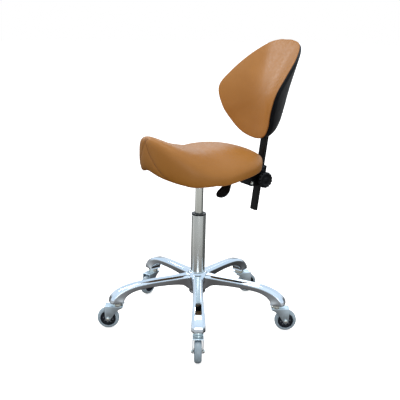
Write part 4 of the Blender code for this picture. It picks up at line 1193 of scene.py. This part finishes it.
def make_camera():
    data = bpy.data.cameras.new("camera")
    data.lens = CAMERA_LENS
    data.sensor_width = 36.0
    data.clip_start = 0.02
    camera = link("camera", data)
    camera.matrix_world = (AT_COLUMN @ turned(CAMERA_TURN, "Z")
                           @ shift(0, -CAMERA_DISTANCE, CAMERA_HEIGHT) @ turned(-CAMERA_YAW, "Z")
                           @ turned(pi / 2 - CAMERA_PITCH, "X") @ turned(CAMERA_ROLL, "Z"))
    bpy.context.scene.camera = camera


def make_floor():
    """White ground that takes a faint shadow and gives neither light nor reflections."""
    mesh = bpy.data.meshes.new("floor")
    mesh.from_pydata([(-30, -30, 0), (30, -30, 0), (30, 30, 0), (-30, 30, 0)], [], [(0, 1, 2, 3)])
    paint = Paint("floor", (0.92, 0.92, 0.92), 0.9, specular_ior_level=0.0,
                  emission_color=(1, 1, 1, 1), emission_strength=0.62)
    mesh.materials.append(paint.material)
    floor = link("floor", mesh)
    floor.location.z = -0.0005
    floor.visible_glossy = False
    floor.visible_diffuse = False


# Colours up the studio's walls, from below to overhead: a height from 0 to 1, then the colour.
WALL_LEVELS = (
    (0.0, (0.08, 0.074, 0.07)), (0.2, (0.12, 0.11, 0.105)), (0.31, (0.28, 0.275, 0.27)),
    (0.36, (0.6, 0.61, 0.61)), (0.43, (0.56, 0.58, 0.6)), (0.5, (0.34, 0.355, 0.38)),
    (0.525, (0.8, 0.85, 0.91)), (0.62, (0.8, 0.91, 1.02)), (0.75, (0.7, 0.84, 0.98)),
    (1.0, (0.92, 1.04, 1.14)),
)
# Panels and gaps round the lower part of the walls: a bearing from 0 to 1, then the brightness.
WALL_SIDES = (
    (0.0, 0.45), (0.06, 0.3), (0.12, 0.8), (0.165, 1.35), (0.2, 0.9), (0.59, 0.95), (0.63, 0.24),
    (0.78, 0.24), (0.84, 0.55), (1.0, 0.45),
)
# Soft light on matt surfaces, from below to overhead.
WASH_LEVELS = (
    (0.0, (0.1, 0.07, 0.04)), (0.33, (0.26, 0.235, 0.2)), (0.5, (0.66, 0.65, 0.635)),
    (0.75, 0.86), (1.0, 1.05),
)


def make_world():
    """White backdrop for the eye; a studio of soft panels and dark gaps for the surfaces."""
    world = bpy.data.worlds.new("studio")
    bpy.context.scene.world = world
    world.use_nodes = True
    tree = world.node_tree
    tree.nodes.clear()

    def bands(value, stops):
        ramp = add_node(tree, "ShaderNodeValToRGB", {"Fac": value})
        while len(ramp.color_ramp.elements) < len(stops):
            ramp.color_ramp.elements.new(0.5)
        for element, (at, colour) in zip(ramp.color_ramp.elements, stops):
            element.position = at
            element.color = (*(colour if isinstance(colour, tuple) else (colour,) * 3), 1.0)
        return ramp.outputs["Color"]

    def light(colour):
        return add_node(tree, "ShaderNodeBackground", {"Color": colour, "Strength": 1.0}).outputs[0]

    def choose(ray, other, chosen):
        return add_node(tree, "ShaderNodeMixShader", {0: ray, 1: other, 2: chosen}).outputs[0]

    place = add_node(tree, "ShaderNodeTexCoord").outputs["Generated"]
    axes = add_node(tree, "ShaderNodeSeparateXYZ", {"Vector": place}).outputs
    height = remapped(tree, axes["Z"], -1.0, 1.0, 0.0, 1.0)
    angle = add_node(tree, "ShaderNodeMath", {0: axes["Y"], 1: axes["X"]}, operation="ARCTAN2")
    sides = bands(remapped(tree, angle.outputs[0], -pi, pi, 0.0, 1.0), WALL_SIDES)
    around = mixed(tree, remapped(tree, height, 0.49, 0.6, 0.0, 1.0), sides, (1, 1, 1))
    walls = add_node(tree, "ShaderNodeVectorMath", {0: bands(height, WALL_LEVELS), 1: around},
                     operation="MULTIPLY")
    ray = add_node(tree, "ShaderNodeLightPath").outputs
    lit = choose(ray["Is Diffuse Ray"], light(walls.outputs[0]), light(bands(height, WASH_LEVELS)))
    seen = choose(ray["Is Camera Ray"], lit, light((1, 1, 1, 1)))
    add_node(tree, "ShaderNodeOutputWorld", {"Surface": seen})


def area_light(name, turn, height, distance, size, power, colour=(1, 1, 1), target=(0, 0, 0.55)):
    """Soft panel at a bearing and distance from the column, aimed at the target."""
    data = bpy.data.lights.new(name, "AREA")
    data.shape = "RECTANGLE"
    data.size, data.size_y = size
    data.energy = power
    data.color = colour
    lamp = link(name, data)
    bearing = radians(turn)
    lamp.location = COLUMN + Vector((distance * cos(bearing), distance * sin(bearing), height))
    aim = Vector(target) + COLUMN - lamp.location
    lamp.rotation_euler = aim.to_track_quat("-Z", "Y").to_euler()
    lamp.visible_camera = False


def make_lights():
    area_light("key", -80, 3.2, 0.4, (1.2, 1.2), 15, (1.0, 0.985, 0.96))
    area_light("strip", -166, 1.9, 1.9, (0.3, 0.9), 15, (1.0, 0.98, 0.96), (0, 0.25, 0.8))
    area_light("side_fill", -25, 1.0, 3.0, (1.4, 1.4), 11, (1.0, 0.99, 0.98))
    area_light("rear", 140, 1.5, 2.2, (1.0, 0.8), 3)


def make_studio():
    scene = bpy.context.scene
    scene.view_settings.view_transform = "Standard"
    scene.view_settings.look = "None"
    scene.view_settings.exposure = 0.0
    make_camera()
    make_floor()
    make_world()
    make_lights()


paint_frame()
make_studio()
make_base()
make_casters()
make_column()
make_seat()
make_back_cushion()
make_back_shell()
make_back_tube()
make_bar()
make_clamp()
make_knobs()
make_lever()
